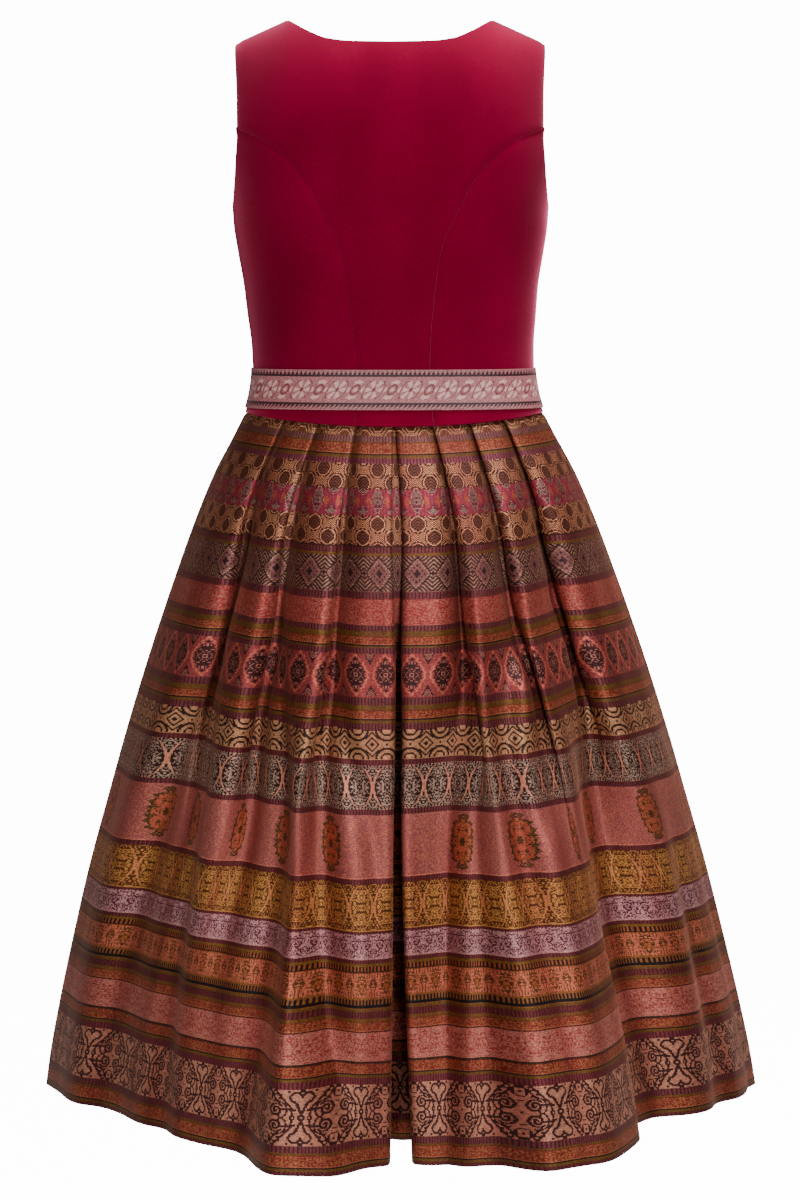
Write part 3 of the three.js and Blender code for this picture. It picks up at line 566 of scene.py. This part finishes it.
class Field:
    """A value worked out by a material's nodes. Arithmetic on it adds Math nodes."""

    def __init__(self, socket):
        self.tree, self.socket = socket.id_data, socket

    def math(self, operation, *others, clamp=False):
        return field_of(self.tree, "Math", self, *others, operation=operation, use_clamp=clamp)

    __add__, __sub__ = arithmetic("ADD"), arithmetic("SUBTRACT")
    __mul__, __truediv__ = arithmetic("MULTIPLY"), arithmetic("DIVIDE")
    over, under = arithmetic("GREATER_THAN"), arithmetic("LESS_THAN")

    def waves(self, length, phase=0):
        return (self * (2 * math.pi / length) - phase).math("SINE")

    def cell_power(self):
        """2 to the power of the cell's number."""
        return field_of(self.tree, "Math", 2, self.math("FLOOR"), operation="POWER")

    def ramp(self, stops, hard=False):
        """Colours or values by position. A Color Ramp."""
        node = node_of(self.tree, "ValToRGB", self)
        node.color_ramp.interpolation = "CONSTANT" if hard else "LINEAR"
        elements = node.color_ramp.elements
        elements.remove(elements[1])
        elements[0].position = stops[0][0]
        for position, _ in stops[1:]:
            elements.new(position)
        for element, (_, colour) in zip(elements, stops):
            element.color = colour_of(colour)
        return Field(node.outputs[0])


def put(slot, item):
    if isinstance(item, Field):
        slot.id_data.links.new(item.socket, slot)
    else:
        slot.default_value = item


def node_of(tree, kind, *items, **settings):
    """A new node with its settings. The items go into its first inputs."""
    node = tree.nodes.new(f"ShaderNode{kind}")
    for key, value in settings.items():
        setattr(node, key, value)
    for slot, item in zip(node.inputs, items):
        put(slot, item)
    return node


def field_of(tree, kind, *items, **settings):
    return Field(node_of(tree, kind, *items, **settings).outputs[0])


def colour_of(value):
    """Linear colour of a "rrggbb" string, a grey number or three plain values."""
    if isinstance(value, str):
        parts = [int(value[i : i + 2], 16) / 255 for i in (0, 2, 4)]
        value = [c / 12.92 if c <= 0.04045 else ((c + 0.055) / 1.055) ** 2.4 for c in parts]
    elif not hasattr(value, "__len__"):
        value = [value] * 3
    return (*value, 1)


def blend(factor, a, b, mode="MIX"):
    """Colour a turned into colour b by factor."""
    tree = next(item.tree for item in (factor, a, b) if isinstance(item, Field))
    node = node_of(tree, "Mix", data_type="RGBA", blend_type=mode)
    for slot, item in ((node.inputs[0], factor), (node.inputs[6], a), (node.inputs[7], b)):
        put(slot, colour_of(item) if isinstance(item, str) else item)
    return Field(node.outputs[2])


def noise(vector, scale, detail):
    node = node_of(vector.tree, "TexNoise", vector)
    node.inputs["Scale"].default_value, node.inputs["Detail"].default_value = scale, detail
    return Field(node.outputs[0])


def principled(name, **sockets):
    """A new material and its shader."""
    material = bpy.data.materials.new(name)
    material.use_nodes = True
    shader = material.node_tree.nodes["Principled BSDF"]
    for key, value in sockets.items():
        put(shader.inputs[key.replace("_", " ")], colour_of(value) if isinstance(value, str) else value)
    return material, shader


def fabric(name, build, **sockets):
    """A cloth material. build gives colour, roughness (or None) and height in millimetres."""
    material, shader = principled(name, **sockets)
    tree = material.node_tree
    colour, roughness, height = build(tree)
    put(shader.inputs["Base Color"], colour)
    if roughness is not None:
        put(shader.inputs["Roughness"], roughness)
    bump = node_of(tree, "Bump")
    put(bump.inputs["Distance"], MM)
    put(bump.inputs["Height"], height)
    tree.links.new(bump.outputs[0], shader.inputs["Normal"])
    return material


def places(tree, uv=None):
    """Cloth coordinates from a UV map, or the object's own coordinates, in millimetres."""
    node = node_of(tree, "UVMap", uv_map=uv) if uv else node_of(tree, "TexCoord")
    scale = node_of(tree, "VectorMath", Field(node.outputs["UV" if uv else "Object"]), operation="SCALE")
    scale.inputs["Scale"].default_value = 1 / MM
    vector = Field(scale.outputs[0])
    return vector, [Field(output) for output in node_of(tree, "SeparateXYZ", vector).outputs]


def stretched(vector, x, y, z):
    """Places scaled differently along each axis."""
    return field_of(vector.tree, "VectorMath", vector, (x, y, z), operation="MULTIPLY")


def velvet_nodes(tree):
    vector, _ = places(tree)
    clouds = noise(stretched(vector, 1, 1, 0.6), 0.012, 1.5)
    nap = noise(stretched(vector, 1.6, 1.6, 0.5), 0.9, 3)
    pile = noise(vector, 2.4, 2)
    tone = clouds * 0.55 + nap * 0.45
    colour = tone.ramp([(0.34, "68001f"), (0.5, "780026"), (0.66, "8a022e")])
    return colour, None, pile * 0.12 + nap * 0.1


velvet = fabric(
    "velvet", velvet_nodes, Roughness=0.9, Specular_IOR_Level=0.0, Sheen_Weight=1.0,
    Sheen_Roughness=0.42, Sheen_Tint="ff7a9c",
)

# ---- woven patterns. A chart is half of a repeat, mirrored at its axis. Its cells are about a
# millimetre. A band up to WHOLE_LIMIT millimetres high is drawn whole, a higher one is mirrored at
# its middle
CELLS = 14
PITCH = 26
WHOLE_LIMIT = 31
RAMP_ROWS, RAMP_STRIPES = 29, 31
ROW_START = 0.04


def charted(v, top, bottom, drawing, cells=CELLS):
    """Up to three masks by position down the cloth. Each value is a row of cells, packed as a
    binary fraction with its first cell in the highest place."""
    height = bottom - top
    inward, drawn, middle = (v - top) / height, height, 0.5
    if height > WHOLE_LIMIT:
        inward, drawn, middle = (inward - 0.5).math("ABSOLUTE") * -2 + 1, height / 2, 1
    count = min(round(drawn), RAMP_ROWS)
    y = ((np.arange(count) + 0.5) / count - middle) * drawn
    masks = drawing(*np.meshgrid(np.arange(cells) + 0.5, y))
    rows = [np.asarray(mask, float) @ 2.0 ** -np.arange(1, mask.shape[1] + 1) for mask in masks]
    rows += [np.zeros(count)] * (3 - len(rows))
    stops = [((k + ROW_START) / count, values) for k, values in enumerate(zip(*rows))]
    values = inward.ramp([(0, 0), *stops, (1, 0)], hard=True)
    return [Field(output) for output in node_of(v.tree, "SeparateColor", values).outputs]


def repeated(u, pitch, cells):
    """Cells from the axis of the nearest repeat, by position across the cloth."""
    return ((u / pitch + 0.5).math("FRACT") - 0.5).math("ABSOLUTE") * cells


def bit(value, power):
    """1 where the chart's cell is filled."""
    return (value * power).math("FRACT").over(0.499)


def lozenge(x, y, wide, high):
    return abs(x) / wide + abs(y) / high


def ring(distance, radius, width):
    return abs(distance - radius) < width / 2


def oval(x, y, wide, high):
    return np.hypot(x / wide, y / high)


def pointed(x, y, wide, high):
    """1 on the outline of a pointed oval."""
    return abs(x) / np.maximum(wide * np.cos(np.clip(y / high, -1, 1) * np.pi / 2) ** 0.75, 1e-3)


def checker(x, y):
    return (np.floor(x) + np.floor(y)) % 2 == 0


def speckles(x, share, seed):
    return np.random.default_rng(seed).random(x.shape) < share


def lattice(x, y):
    """Shell shapes in two staggered rows, with a pale net of links and dots round them."""
    shells = [(0, -6.5), (14, 6.5), (14, -19), (0, 19)]
    near = np.min([oval(x - a, y - b, 5.7, 6.3) for a, b in shells], axis=0)
    ribs = (near < 0.9) & (np.floor(abs(x - 7) + y) % 3 == 0)
    return ring(near, 1.13, 0.16) | ((near > 1.42) & checker(x, y)), ribs


def tall_diamonds(x, y):
    tall = (abs(x) / 5) + (abs(y + 1) / 12.5) ** 1.3
    small = lozenge(x - 14, y - 8, 5, 6)
    edge = abs(x - 14) / 7.5 + (y + 13.5) / 7
    dark = (tall < 1) | (small < 1) | (edge < 1)
    light = dark & ~checker(x, y)
    orange = (lozenge(x - 8.5, y + 1, 3, 6) < 1) & ~dark
    return dark & ~light, (light | ring(tall, 1.15, 0.16)) & speckles(x, 0.7, 4), orange


def zigzag_diamonds(x, y):
    d, small = lozenge(x, y, 12.5, 16), lozenge(x, y, 3, 4.5) < 1
    outside = d > 1.08
    teeth = np.floor(abs(y) + abs(14 - x)) % 4
    dark = small | (ring(d, 0.55, 0.12) & (np.floor(x) % 2 == 0)) | (outside & (teeth < 2))
    dark |= ring(d, 1.0, 0.13)
    light = (outside & (teeth == 2) & speckles(x, 0.7, 13)) | (ring(d, 0.87, 0.1) & (np.floor(y) % 2 == 0))
    return dark, light & ~dark


def coral_diamonds(x, y):
    body = abs(x) / 9.4 + (abs(y) / 17) ** 1.5 + 0.12 * (np.floor(y / 2) % 2)
    edge = abs(x - 14) / 5.5 + (20.5 - abs(y)) / 11
    dark = (body < 1) | (edge < 1)
    light = ((body < 0.86) & speckles(x, 0.3, 7)) | ((edge < 0.8) & (np.floor(x + y) % 2 == 0))
    return dark & ~light, light, (ring(body, 1.3, 0.2)) & ~dark


def circles_diamonds(x, y):
    circle = np.hypot(x, 14 - abs(y))
    diamond = lozenge(x - 14, y, 1, 1)
    dark = ring(circle, 5.4, 2) | ring(circle, 10.2, 2) | ring(diamond, 6.6, 2) | (diamond < 2.4)
    corner = ring(diamond, 11.6, 1.4) & (abs(y) > 4.5)
    return dark | corner | (np.hypot(x, y) < 1.4) | (circle < 1.6), circle < 4.2


def ogees(x, y):
    d = pointed(x, y, 12.2, 21.8)
    outline = ring(d, 1.08, 0.17)
    grain = speckles(x, 0.42, 11) & ~ring(d, 0.92, 0.1)
    return outline, grain & ~outline


def rosettes(x, y):
    d = oval(x, y, 11.5, 25) * (1 + 0.1 * np.cos(y * 0.9))
    high = abs(y)
    petals = (oval(x - 3.5, high - 11, 5, 7) < 1) | (oval(x - 5.5, y, 4, 4.5) < 1)
    petals |= (oval(x, high - 5, 2, 3) < 1) | (oval(x, high - 20, 2.5, 2.5) < 1)
    petals &= (d < 0.92) & ~speckles(x, 0.16, 33)
    dots = (oval(x, y, 2, 2.4) < 1) | (oval(x - 3.5, high - 11, 1.2, 2) < 1)
    edge = (d < 1) & speckles(x, 0.88, 31)
    return (edge & ~petals) | dots, petals & ~dots, (d < 0.96) & ~petals & speckles(x, 0.35, 32)


def gold_ogees(x, y):
    d = pointed(x, y, 12.2, 22)
    outline = ring(d, 1.08, 0.14)
    grain = (speckles(x, 0.4, 17) & (d < 0.97)) | ((d > 1.17) & speckles(x, 0.66, 18))
    return grain, outline, ring(d, 0.9, 0.08)


def small_scrolls(x, y):
    a = np.hypot(x - 3.5, abs(y) - 4.5)
    b = np.hypot(x - 10.5, abs(y) - 7)
    c = lozenge(x - 7, y, 1, 1)
    marks = ring(a, 2.4, 1.1) | ring(b, 2.6, 1.1) | ring(c, 3, 1.2) | (a < 0.8) | (b < 0.8)
    return (marks ^ speckles(x, 0.24, 23),)


def teeth(x, y):
    return (abs((x % 4) - 2) < 1.1 + y * 0.2,)


def brushed_flowers(x, y):
    flower = (oval(x, y, 6.5, 9) < 1 + 0.25 * np.cos(y * 1.6)) & speckles(x, 0.72, 28)
    small = (lozenge(x - 13, y, 4, 7) < 1) & speckles(x, 0.7, 27)
    strokes = (np.floor(x) % 3 == 0) & (abs(y) > 7) & speckles(x, 0.6, 29)
    return flower | small | strokes, (oval(x, y, 3.4, 5) < 1) & speckles(x, 0.6, 30)


def spiral(x, y, size, turn):
    r = np.hypot(x, y)
    angle = (np.arctan2(y, x) - turn) / (2 * np.pi) % 1
    arms = [abs(r - (k + angle) * size / 2) < 1.05 for k in (0, 1)]
    return (arms[0] | arms[1]) & (r < size)


def palmettes(x, y):
    """Hearts on knots at the axis, four spirals and four-lobed lozenges between them."""
    y = abs(y)

    def off(a, b):
        return np.hypot(x - a, y - b)

    marks = ring(off(4.5, 18.5), 4.2, 2.1) & ((y > 17.5) | (x > 5))
    for a, b, radius, width in ((0, 0, 2.4, 1.7), (7, 0, 1.8, 1.4), (12, 3, 5.2, 1.6), (21, 23, 1.9, 1)):
        marks |= ring(off(a, b), radius, width)
    for foot, rise, slant, width, start, end in (
        (0, 3, 0.42, 1.2, 3, 15), (4.5, 5, 0.8, 1.3, 6, 99), (9.5, 4, 0.8, 1.15, 11, 99),
    ):
        marks |= (abs(x - foot - (y - rise) * slant) < width) & (y > start) & (y < end)
    marks |= spiral(x - 19.5, y - 7, 6.4, 2.6) | (ring(off(19.5, 7), 8.4, 1.7) & (x < 22))
    lobes = lozenge(28 - x, y - 19.5, 1, 1)
    marks |= ring(lobes + 1.2 * np.cos(np.arctan2(y - 19.5, 28 - x) * 4), 5.6, 1.7) | (lobes < 1.6)
    dots = ((2.6, 12, 1.1), (10, 24, 1.3), (28, 0, 1.3), (27, 11.5, 1), (1, 24, 1.4), (17, 18, 1.2))
    for a, b, size in dots:
        marks |= off(a, b) < size
    return marks[:, :CELLS], marks[:, CELLS:]


PLUM, WINE = ("703236", "44161a"), ("6c2a2c", "44161a")
ORANGE, PALE_ORANGE = ("b26640", "a0563a"), ("b26a42", "a0563a")
OLIVE, BLACK, BROWN = "6a4818", "22100a", "2c140c"
# Millimetres of cloth down from the waist seam to the stripe's end, its colour, its ticks' colour
STRIPES = [
    (9.8, "5c2c1c"), (14.6, "7d4f4c", "5e2f30"), (16.6, OLIVE), (26.2, *PALE_ORANGE), (27.7, BROWN),
    (31, OLIVE), (36.6, "7c3a46", "4e1826"), (60.9, "3e180f"), (86.8, "943244", "82263a"),
    (115.5, "3e180f"), (121.3, *PLUM), (125.1, OLIVE, "7a4e24"), (158.8, "7c4e4a"), (165.6, *PLUM),
    (190.5, "ba6858"), (196.2, *PLUM), (201.1, OLIVE), (208.6, *ORANGE), (209.7, BLACK),
    (212, OLIVE), (217.6, *PLUM), (258.2, "96403f"), (265.9, *PLUM), (270.7, OLIVE),
    (278.4, *ORANGE), (280.3, BLACK), (283.1, OLIVE), (289.3, *PLUM), (317.1, "b88660"),
    (322.9, *WINE), (364.7, "30140f"), (369.9, *PLUM), (427.8, "ca7460"), (433.9, *WINE),
    (476.6, "c08644"), (480, *WINE), (502.8, "c08c8c"), (507, *WINE), (510.3, "745218"),
    (516, "9a5028"), (539.4, "c26a4e"), (549.2, "8a5428"), (551.6, OLIVE), (558, *WINE),
    (561.8, OLIVE, "7a4e24"), (570, *ORANGE), (571.4, BROWN), (599, "ba7062"), (601.3, "30200e"),
    (611.2, *ORANGE), (612.6, BROWN), (614.5, OLIVE), (621.8, "742c34", "44161a"),
    (673.4, "b87e66"), (679, *PLUM), (681.5, OLIVE), (692.4, *PALE_ORANGE), (694.4, BLACK),
    (696.3, OLIVE), (701, *WINE),
]
# Top and bottom, the drawing, and the colours of its masks
CHARTS = [
    (0, 9.8, lattice, ("cc9a6c", "8a5234")),
    (36.6, 60.9, lattice, ("d2926a", "7c4832")),
    (60.9, 86.8, tall_diamonds, ("3a1822", "a08070", "a44a38")),
    (86.8, 115.5, lattice, ("d2926a", "7c4832")),
    (125.1, 158.8, zigzag_diamonds, ("32141a", "b08a66")),
    (217.6, 258.2, coral_diamonds, ("3a1616", "a8685c", "c86c58")),
    (289.3, 317.1, circles_diamonds, ("2c120c", "c8906a")),
    (322.9, 364.7, ogees, ("d2886c", "a88c7a")),
    (369.9, 427.8, rosettes, ("4c3014", "b4583e", "6c4a20")),
    (433.9, 476.6, gold_ogees, ("5a2e10", "cc8052", "6a3a16")),
    (480, 502.8, small_scrolls, ("5c2438",)),
    (510.3, 516, teeth, ("140a0a",)),
    (516, 539.4, brushed_flowers, ("5e3a18", "a4582e")),
    (539.4, 549.2, teeth, ("140a0a",)),
    (571.4, 599, small_scrolls, ("983c38",)),
]
PALMETTE_TOP, PALMETTE_BOTTOM, PALMETTE_COLOUR = 621.8, 673.4, "3a1414"
# The orange stripes and two others are speckled: top, bottom and the speckles' colour
SPECKLED = [(165.6, 190.5, "8a2c2c"), (369.9, 427.8, "8c4a4c")] + [
    (top, bottom, "702218") for top, bottom in (
        (16.6, 26.2), (201.1, 208.6), (270.7, 278.4), (561.8, 570), (601.3, 611.2), (681.5, 692.4),
    )
]
# The rosettes stand further apart, and their cells are wider
ROSETTE_PITCH, ROSETTE_CELL = 96, 1.3
TICK_PITCH, TICK_FROM = 2.9, 0.62
GRAINS_PER_MM, SPECKLE_FROM = (0.9, 1.25), 0.55
WARP_MM, WEFT_MM = 0.9, 1.1
SHADE_PHASE, SHADE_SHARE = 0.8, 0.55


def striped(v, column):
    """Colours from one column of STRIPES, by position down the cloth."""
    colour = None
    for start in range(0, len(STRIPES), RAMP_STRIPES):
        part = STRIPES[start : start + RAMP_STRIPES]
        low = STRIPES[start - 1][0] if start else 0
        span = part[-1][0] - low
        starts = [low] + [stripe[0] for stripe in part[:-1]]
        stops = [((begin - low) / span, stripe[column]) for begin, stripe in zip(starts, part)]
        shades = ((v - low) / span).ramp(stops, hard=True)
        colour = blend(v.over(low), colour, shades) if start else shades
    return colour


def skirt_nodes(tree):
    vector, (u, v, _) = places(tree, "cloth")
    snapped = field_of(tree, "VectorMath", stretched(vector, *GRAINS_PER_MM, 0), operation="FLOOR")
    grain = field_of(tree, "TexWhiteNoise", snapped)
    speckle = grain.over(SPECKLE_FROM)
    ticks = (u / TICK_PITCH).math("FRACT").over(TICK_FROM)
    colour = blend(ticks, striped(v, 1), striped(v, -1))
    for top, bottom, dark in SPECKLED:
        colour = blend(v.over(top) * v.under(bottom) * speckle, colour, dark)
    power = repeated(u, PITCH, 2 * CELLS).cell_power()
    rare = repeated(u, ROSETTE_PITCH, ROSETTE_PITCH / ROSETTE_CELL)
    rare_power = rare.cell_power()
    for top, bottom, drawing, colours in CHARTS:
        for field, shade in zip(charted(v, top, bottom, drawing), colours):
            mask = bit(field, rare_power) * rare.under(CELLS) if drawing is rosettes else bit(field, power)
            colour = blend(mask, colour, shade)
    wide = repeated(u, 2 * PITCH, 4 * CELLS)
    is_near = wide.under(CELLS)
    near, far, _ = charted(v, PALMETTE_TOP, PALMETTE_BOTTOM, palmettes, 2 * CELLS)
    near_mark = bit(near, wide.cell_power()) * is_near
    far_mark = bit(far, (wide - CELLS).cell_power()) * (is_near * -1 + 1)
    colour = blend(near_mark + far_mark, colour, PALMETTE_COLOUR)
    # warps of two shades, uneven dye, and the weave's own ribs
    wander = noise(stretched(vector, 1, 0.12, 0), 0.03, 2)
    shade = u.waves(2 * PITCH, SHADE_PHASE) * 0.35 + wander * 2.2 - 0.75
    shade = shade.math("MULTIPLY", 1, clamp=True) * SHADE_SHARE
    colour = blend(shade, colour, blend(1.0, colour, "b8606a", "MULTIPLY"))
    fibre = noise(stretched(vector, 0.35, 1.4, 0), 1.2, 2)
    tone = (fibre * 0.62 + grain * 0.38).ramp([(0.25, (0.46, 0.4, 0.4)), (0.75, (1.42, 1.34, 1.3))])
    colour = blend(1.0, colour, tone, "MULTIPLY")
    ribs = v.waves(WEFT_MM) * 0.5 + u.waves(WARP_MM) * 0.3
    return colour, fibre * 0.2 + 0.4, ribs * 0.08 + fibre * 0.12 + grain * 0.05


skirt_jacquard = fabric(
    "skirt_jacquard", skirt_nodes, Metallic=0.58, Specular_IOR_Level=0.4, Sheen_Weight=0.1,
    Sheen_Roughness=0.4, Sheen_Tint="ffb090",
)

RIBBON_WIDTH, RIBBON_PITCH, RIBBON_CELLS = 39.5, 36, 20


def ribbon_flowers(x, y):
    edge = RIBBON_WIDTH / 2 - abs(y)
    tooth = (abs((x % 5) - 2.5) < (edge - 1.4) * 0.5) & (edge < 6.6)
    blossom, turn = np.hypot(x, y), np.arctan2(y, x)
    petals = (blossom < 9.5) & (blossom > 2.4) & (np.cos(6 * turn) > -0.1)
    hoop = np.hypot(20 - x, y)
    leaves = (hoop < 9.5) & (hoop > 6.4) & (np.cos(5 * np.arctan2(y, 20 - x)) > 0.1)
    dark = ring(hoop, 4.6, 1.8) | (blossom < 1.8) | (ring(blossom, 10.8, 1.2) & (abs(y) < 9))
    return tooth, dark & (edge > 8), (petals | leaves | (hoop < 2)) & ~dark & (edge > 8)


def ribbon_nodes(tree):
    vector, (u, v, _) = places(tree, "cloth")
    power = repeated(u, RIBBON_PITCH, 2 * RIBBON_CELLS).cell_power()
    colour = noise(vector, 0.5, 2).ramp([(0.4, "aa6062"), (0.62, "c48284")])
    fields = charted(v, 0, RIBBON_WIDTH, ribbon_flowers, RIBBON_CELLS)
    for field, shade in zip(fields, ("34101a", "84383c", "eab2ac")):
        colour = blend(bit(field, power), colour, shade)
    fibre = noise(stretched(vector, 0.4, 1.6, 0), 1.3, 2)
    colour = blend(1.0, colour, fibre.ramp([(0.3, 0.74), (0.7, 1.16)]), "MULTIPLY")
    ribs = u.waves(WARP_MM) + v.waves(WARP_MM)
    return colour, fibre * 0.2 + 0.32, ribs * 0.04 + fields[1] * 0.1


belt_ribbon = fabric(
    "belt_ribbon", ribbon_nodes, Specular_IOR_Level=0.5, Sheen_Weight=0.2, Sheen_Roughness=0.35,
    Sheen_Tint="ffc8cc",
)


# ---- pieces
def upright(face, sign, across, row):
    """A point of a panel between the middle and the princess seam."""
    tip_x = edge_x[face](SHOULDER_TIP_Z)
    top_x = across * tip_x
    top_z = np.where(top_x < NECK_HALF_WIDTH, neck_z[face](top_x), shoulder_z(top_x))
    bottom_z = waist_seam_z(across * edge_x[face](PRINCESS_FOOT_Z))
    z = mix(bottom_z, top_z, row)
    return bodice_at(face, sign, across * edge_x[face](z), z)


def side(face, sign, across, row):
    """A point of a panel between the princess seam and the side seam."""
    seam_x = edge_x[face](PRINCESS_FOOT_Z)
    seam_z = mix(waist_seam_z(seam_x), ARMHOLE_FOOT_Z[face], row)
    angle = mix(angle_of(edge_x[face](seam_z), seam_z), 90, across)
    bottom_angle = mix(angle_of(seam_x, PRINCESS_FOOT_Z), 90, across)
    bottom_z = waist_seam_z(round_x(bottom_angle, PRINCESS_FOOT_Z))
    z = mix(bottom_z, underarm_z[face](across), row)
    return bodice_at(face, sign, round_x(angle, z), z)


# The seams draw the velvet in a little. At an armhole's foot the side panel's corner tucks under
SEAM_DENT, SEAM_WIDE = 1.4, 4.5
TUCK_IN, TUCK_UP, TUCK_ACROSS, TUCK_DOWN = 1.75, 2.2, 9, 12
# Widths and heights of the panels and steps of their grids. Rows lie closer at an armhole's foot
BACK_SIZE, SIDE_SIZE, FRONT_SIZE = (310, 376), (130, 290), (155, 380)
STEP_ACROSS, STEP_UP = 4, 4.5
FOOT_ROWS, FOOT_CLEAR = [-3, -1.2, -0.4, 0, 0.4, 1.2, 3], 4


def bodice_panel(name, surface, face, sign, wide, high, both=False):
    """One velvet panel, made as a grid."""
    columns, rows = spaced(wide, STEP_ACROSS), spaced(high, STEP_UP)
    if surface is upright:
        low = waist_seam_z(edge_x[face](PRINCESS_FOOT_Z))
        tall = shoulder_z(edge_x[face](SHOULDER_TIP_Z)) - low
        foot = (ARMHOLE_FOOT_Z[face] - low + np.array(FOOT_ROWS)) / tall
        away = abs(rows - (ARMHOLE_FOOT_Z[face] - low) / tall)
        rows = np.sort(np.concatenate([rows[away > FOOT_CLEAR / tall], foot]))
    c, r = np.meshgrid(columns, rows)
    if both:
        points = surface(face, np.sign(c * 2 - 1) + (c == 0.5), abs(c * 2 - 1), r)
    else:
        across = c if FACING[face] * sign < 0 else 1 - c
        points = surface(face, sign, across, r)
    cloth = np.stack([points[..., 0], points[..., 2]], -1)
    seam = edge_distance(points, (True, True, False, False))[..., None]
    points = points - outward(points) * SEAM_DENT * np.exp(-((seam / SEAM_WIDE) ** 2))
    if surface is side:
        tuck = np.exp(-((across * wide / TUCK_ACROSS) ** 2) - ((1 - r) * high / TUCK_DOWN) ** 2)[..., None]
        points = points + tuck * ((0, 0, TUCK_UP) - outward(points) * TUCK_IN)
    return shell(name, points, cloth, 0, -VELVET_WALL, ALL_SOFT, velvet)


panels = [("back", bodice_panel("bodice_back", upright, "back", 1, *BACK_SIZE, both=True))]
for hand, sign in SIDES.items():
    for face in FACING:
        piece = bodice_panel(f"bodice_side_{face}_{hand}", side, face, sign, *SIDE_SIZE)
        panels.append((f"side_{face}", piece))
    panels.append(("front", bodice_panel(f"bodice_front_{hand}", upright, "front", sign, *FRONT_SIZE)))

BELT_COLUMNS, BELT_STEP = 361, 3


def belt_points():
    heights = spaced(BELT_TOP_Z - BELT_BOTTOM_Z, BELT_STEP)
    turn, row = np.meshgrid(np.linspace(-180, 180, BELT_COLUMNS), heights)
    turn_sign = np.where(turn < 0, -1, 1)
    angle = abs(turn)
    z = mix(BELT_BOTTOM_Z, BELT_TOP_Z, row)
    back = bodice_at("back", turn_sign, round_x(angle, z), z)
    front = bodice_at("front", turn_sign, round_x(180 - angle, z), z)
    points = np.where((angle <= 90)[..., None], back, front)
    return points, np.stack([run(points), BELT_TOP_Z - z], -1)


points, cloth = belt_points()
belt = shell(
    "belt_ribbon", points, cloth, BELT_GAP + RIBBON_WALL, BELT_GAP, ALL_SOFT, belt_ribbon
)

# Cloth from the waist seam to the hem
CLOTH_LENGTH = 701
# The skirt's top is tucked up inside the velvet
SEAM_DOWN, SEAM_IN, SEAM_UP = 0.006, 0.036, 4
# Rows by part of the way down, closer at the top and the hem, and points in a step across
TOP_ROWS, HEM_ROWS = [0, 0.003, 0.006, 0.009], [0.9985, 1]
FIRST_ROW, LAST_ROW, SKIRT_ROWS = 0.0135, 0.996, 118
STEP_MM, FEWEST, MOST = 4.4, 2, 8


def skirt_side(face):
    down = np.concatenate([TOP_ROWS, np.linspace(FIRST_ROW, LAST_ROW, SKIRT_ROWS), HEM_ROWS])
    lines, u = section_lines(face, down)
    counts = np.clip(np.ceil(gaps(lines).max(0) / STEP_MM), FEWEST, MOST).astype(int)
    points, u = smooth_across(lines, u, counts)
    points = creased(face, points, down)
    tucked = np.clip(1 - down / SEAM_DOWN, 0, 1)[:, None]
    points[..., :2] *= (1 - SEAM_IN * tucked)[..., None]
    points[..., 2] += SEAM_UP * tucked
    cloth = np.stack([u, np.broadcast_to(down[:, None] * CLOTH_LENGTH, u.shape)], -1)
    points, cloth = points[::-1].copy(), cloth[::-1].copy()
    return shell(
        f"skirt_{face}", points, cloth, SKIRT_WALL / 2, -SKIRT_WALL / 2, HEM_SOFT,
        skirt_jacquard,
    )


skirts = {face: skirt_side(face) for face in FACING}


# ---- studio and camera
SEEN_LIGHT, WORLD_LIGHT = 14, 0.07
WHITE = "ffffff"


def seen_light(tree):
    """The light of the floor and the backdrop, which only the camera sees."""
    return field_of(tree, "LightPath") * SEEN_LIGHT


bpy.ops.mesh.primitive_plane_add(size=40, location=(0, 0, -1.45))
floor = bpy.context.object
floor.name = "studio_floor"
floor_material, floor_shader = principled(
    "studio_floor", Base_Color="f2f1ef", Roughness=0.9, Emission_Color=WHITE
)
put(floor_shader.inputs["Emission Strength"], seen_light(floor_material.node_tree))
floor.data.materials.append(floor_material)

world = bpy.data.worlds.new("studio")
bpy.context.scene.world = world
world.use_nodes = True
backdrop = world.node_tree.nodes["Background"]
put(backdrop.inputs["Color"], colour_of(WHITE))
put(backdrop.inputs["Strength"], seen_light(world.node_tree) + WORLD_LIGHT)


def area_light(name, place, aim, size, power):
    data = bpy.data.lights.new(name, "AREA")
    data.energy, data.size = power, size
    lamp = linked(name, data)
    lamp.location = place
    lamp.rotation_euler = (Vector(aim) - Vector(place)).to_track_quat("-Z", "Y").to_euler()


area_light("key", (0.7, -3.8, 1.35), (0, 0, -0.55), 0.5, 109)
area_light("fill", (-2.6, -2.8, 0.3), (0, 0, -0.7), 1.6, 7)
area_light("top", (0.35, 0.1, 1.5), (0, 0, -0.1), 1.0, 82)

CAMERA_TILT = 2.16
camera_data = bpy.data.cameras.new("camera")
camera_data.sensor_width, camera_data.lens = 36, 114.3
camera_data.shift_y, camera_data.clip_end = -0.16, 100
camera = linked("camera", camera_data)
camera.location = (0.010, -3.8, -0.243)
camera.rotation_euler = (math.radians(90 - CAMERA_TILT), 0, 0)
bpy.context.scene.camera = camera
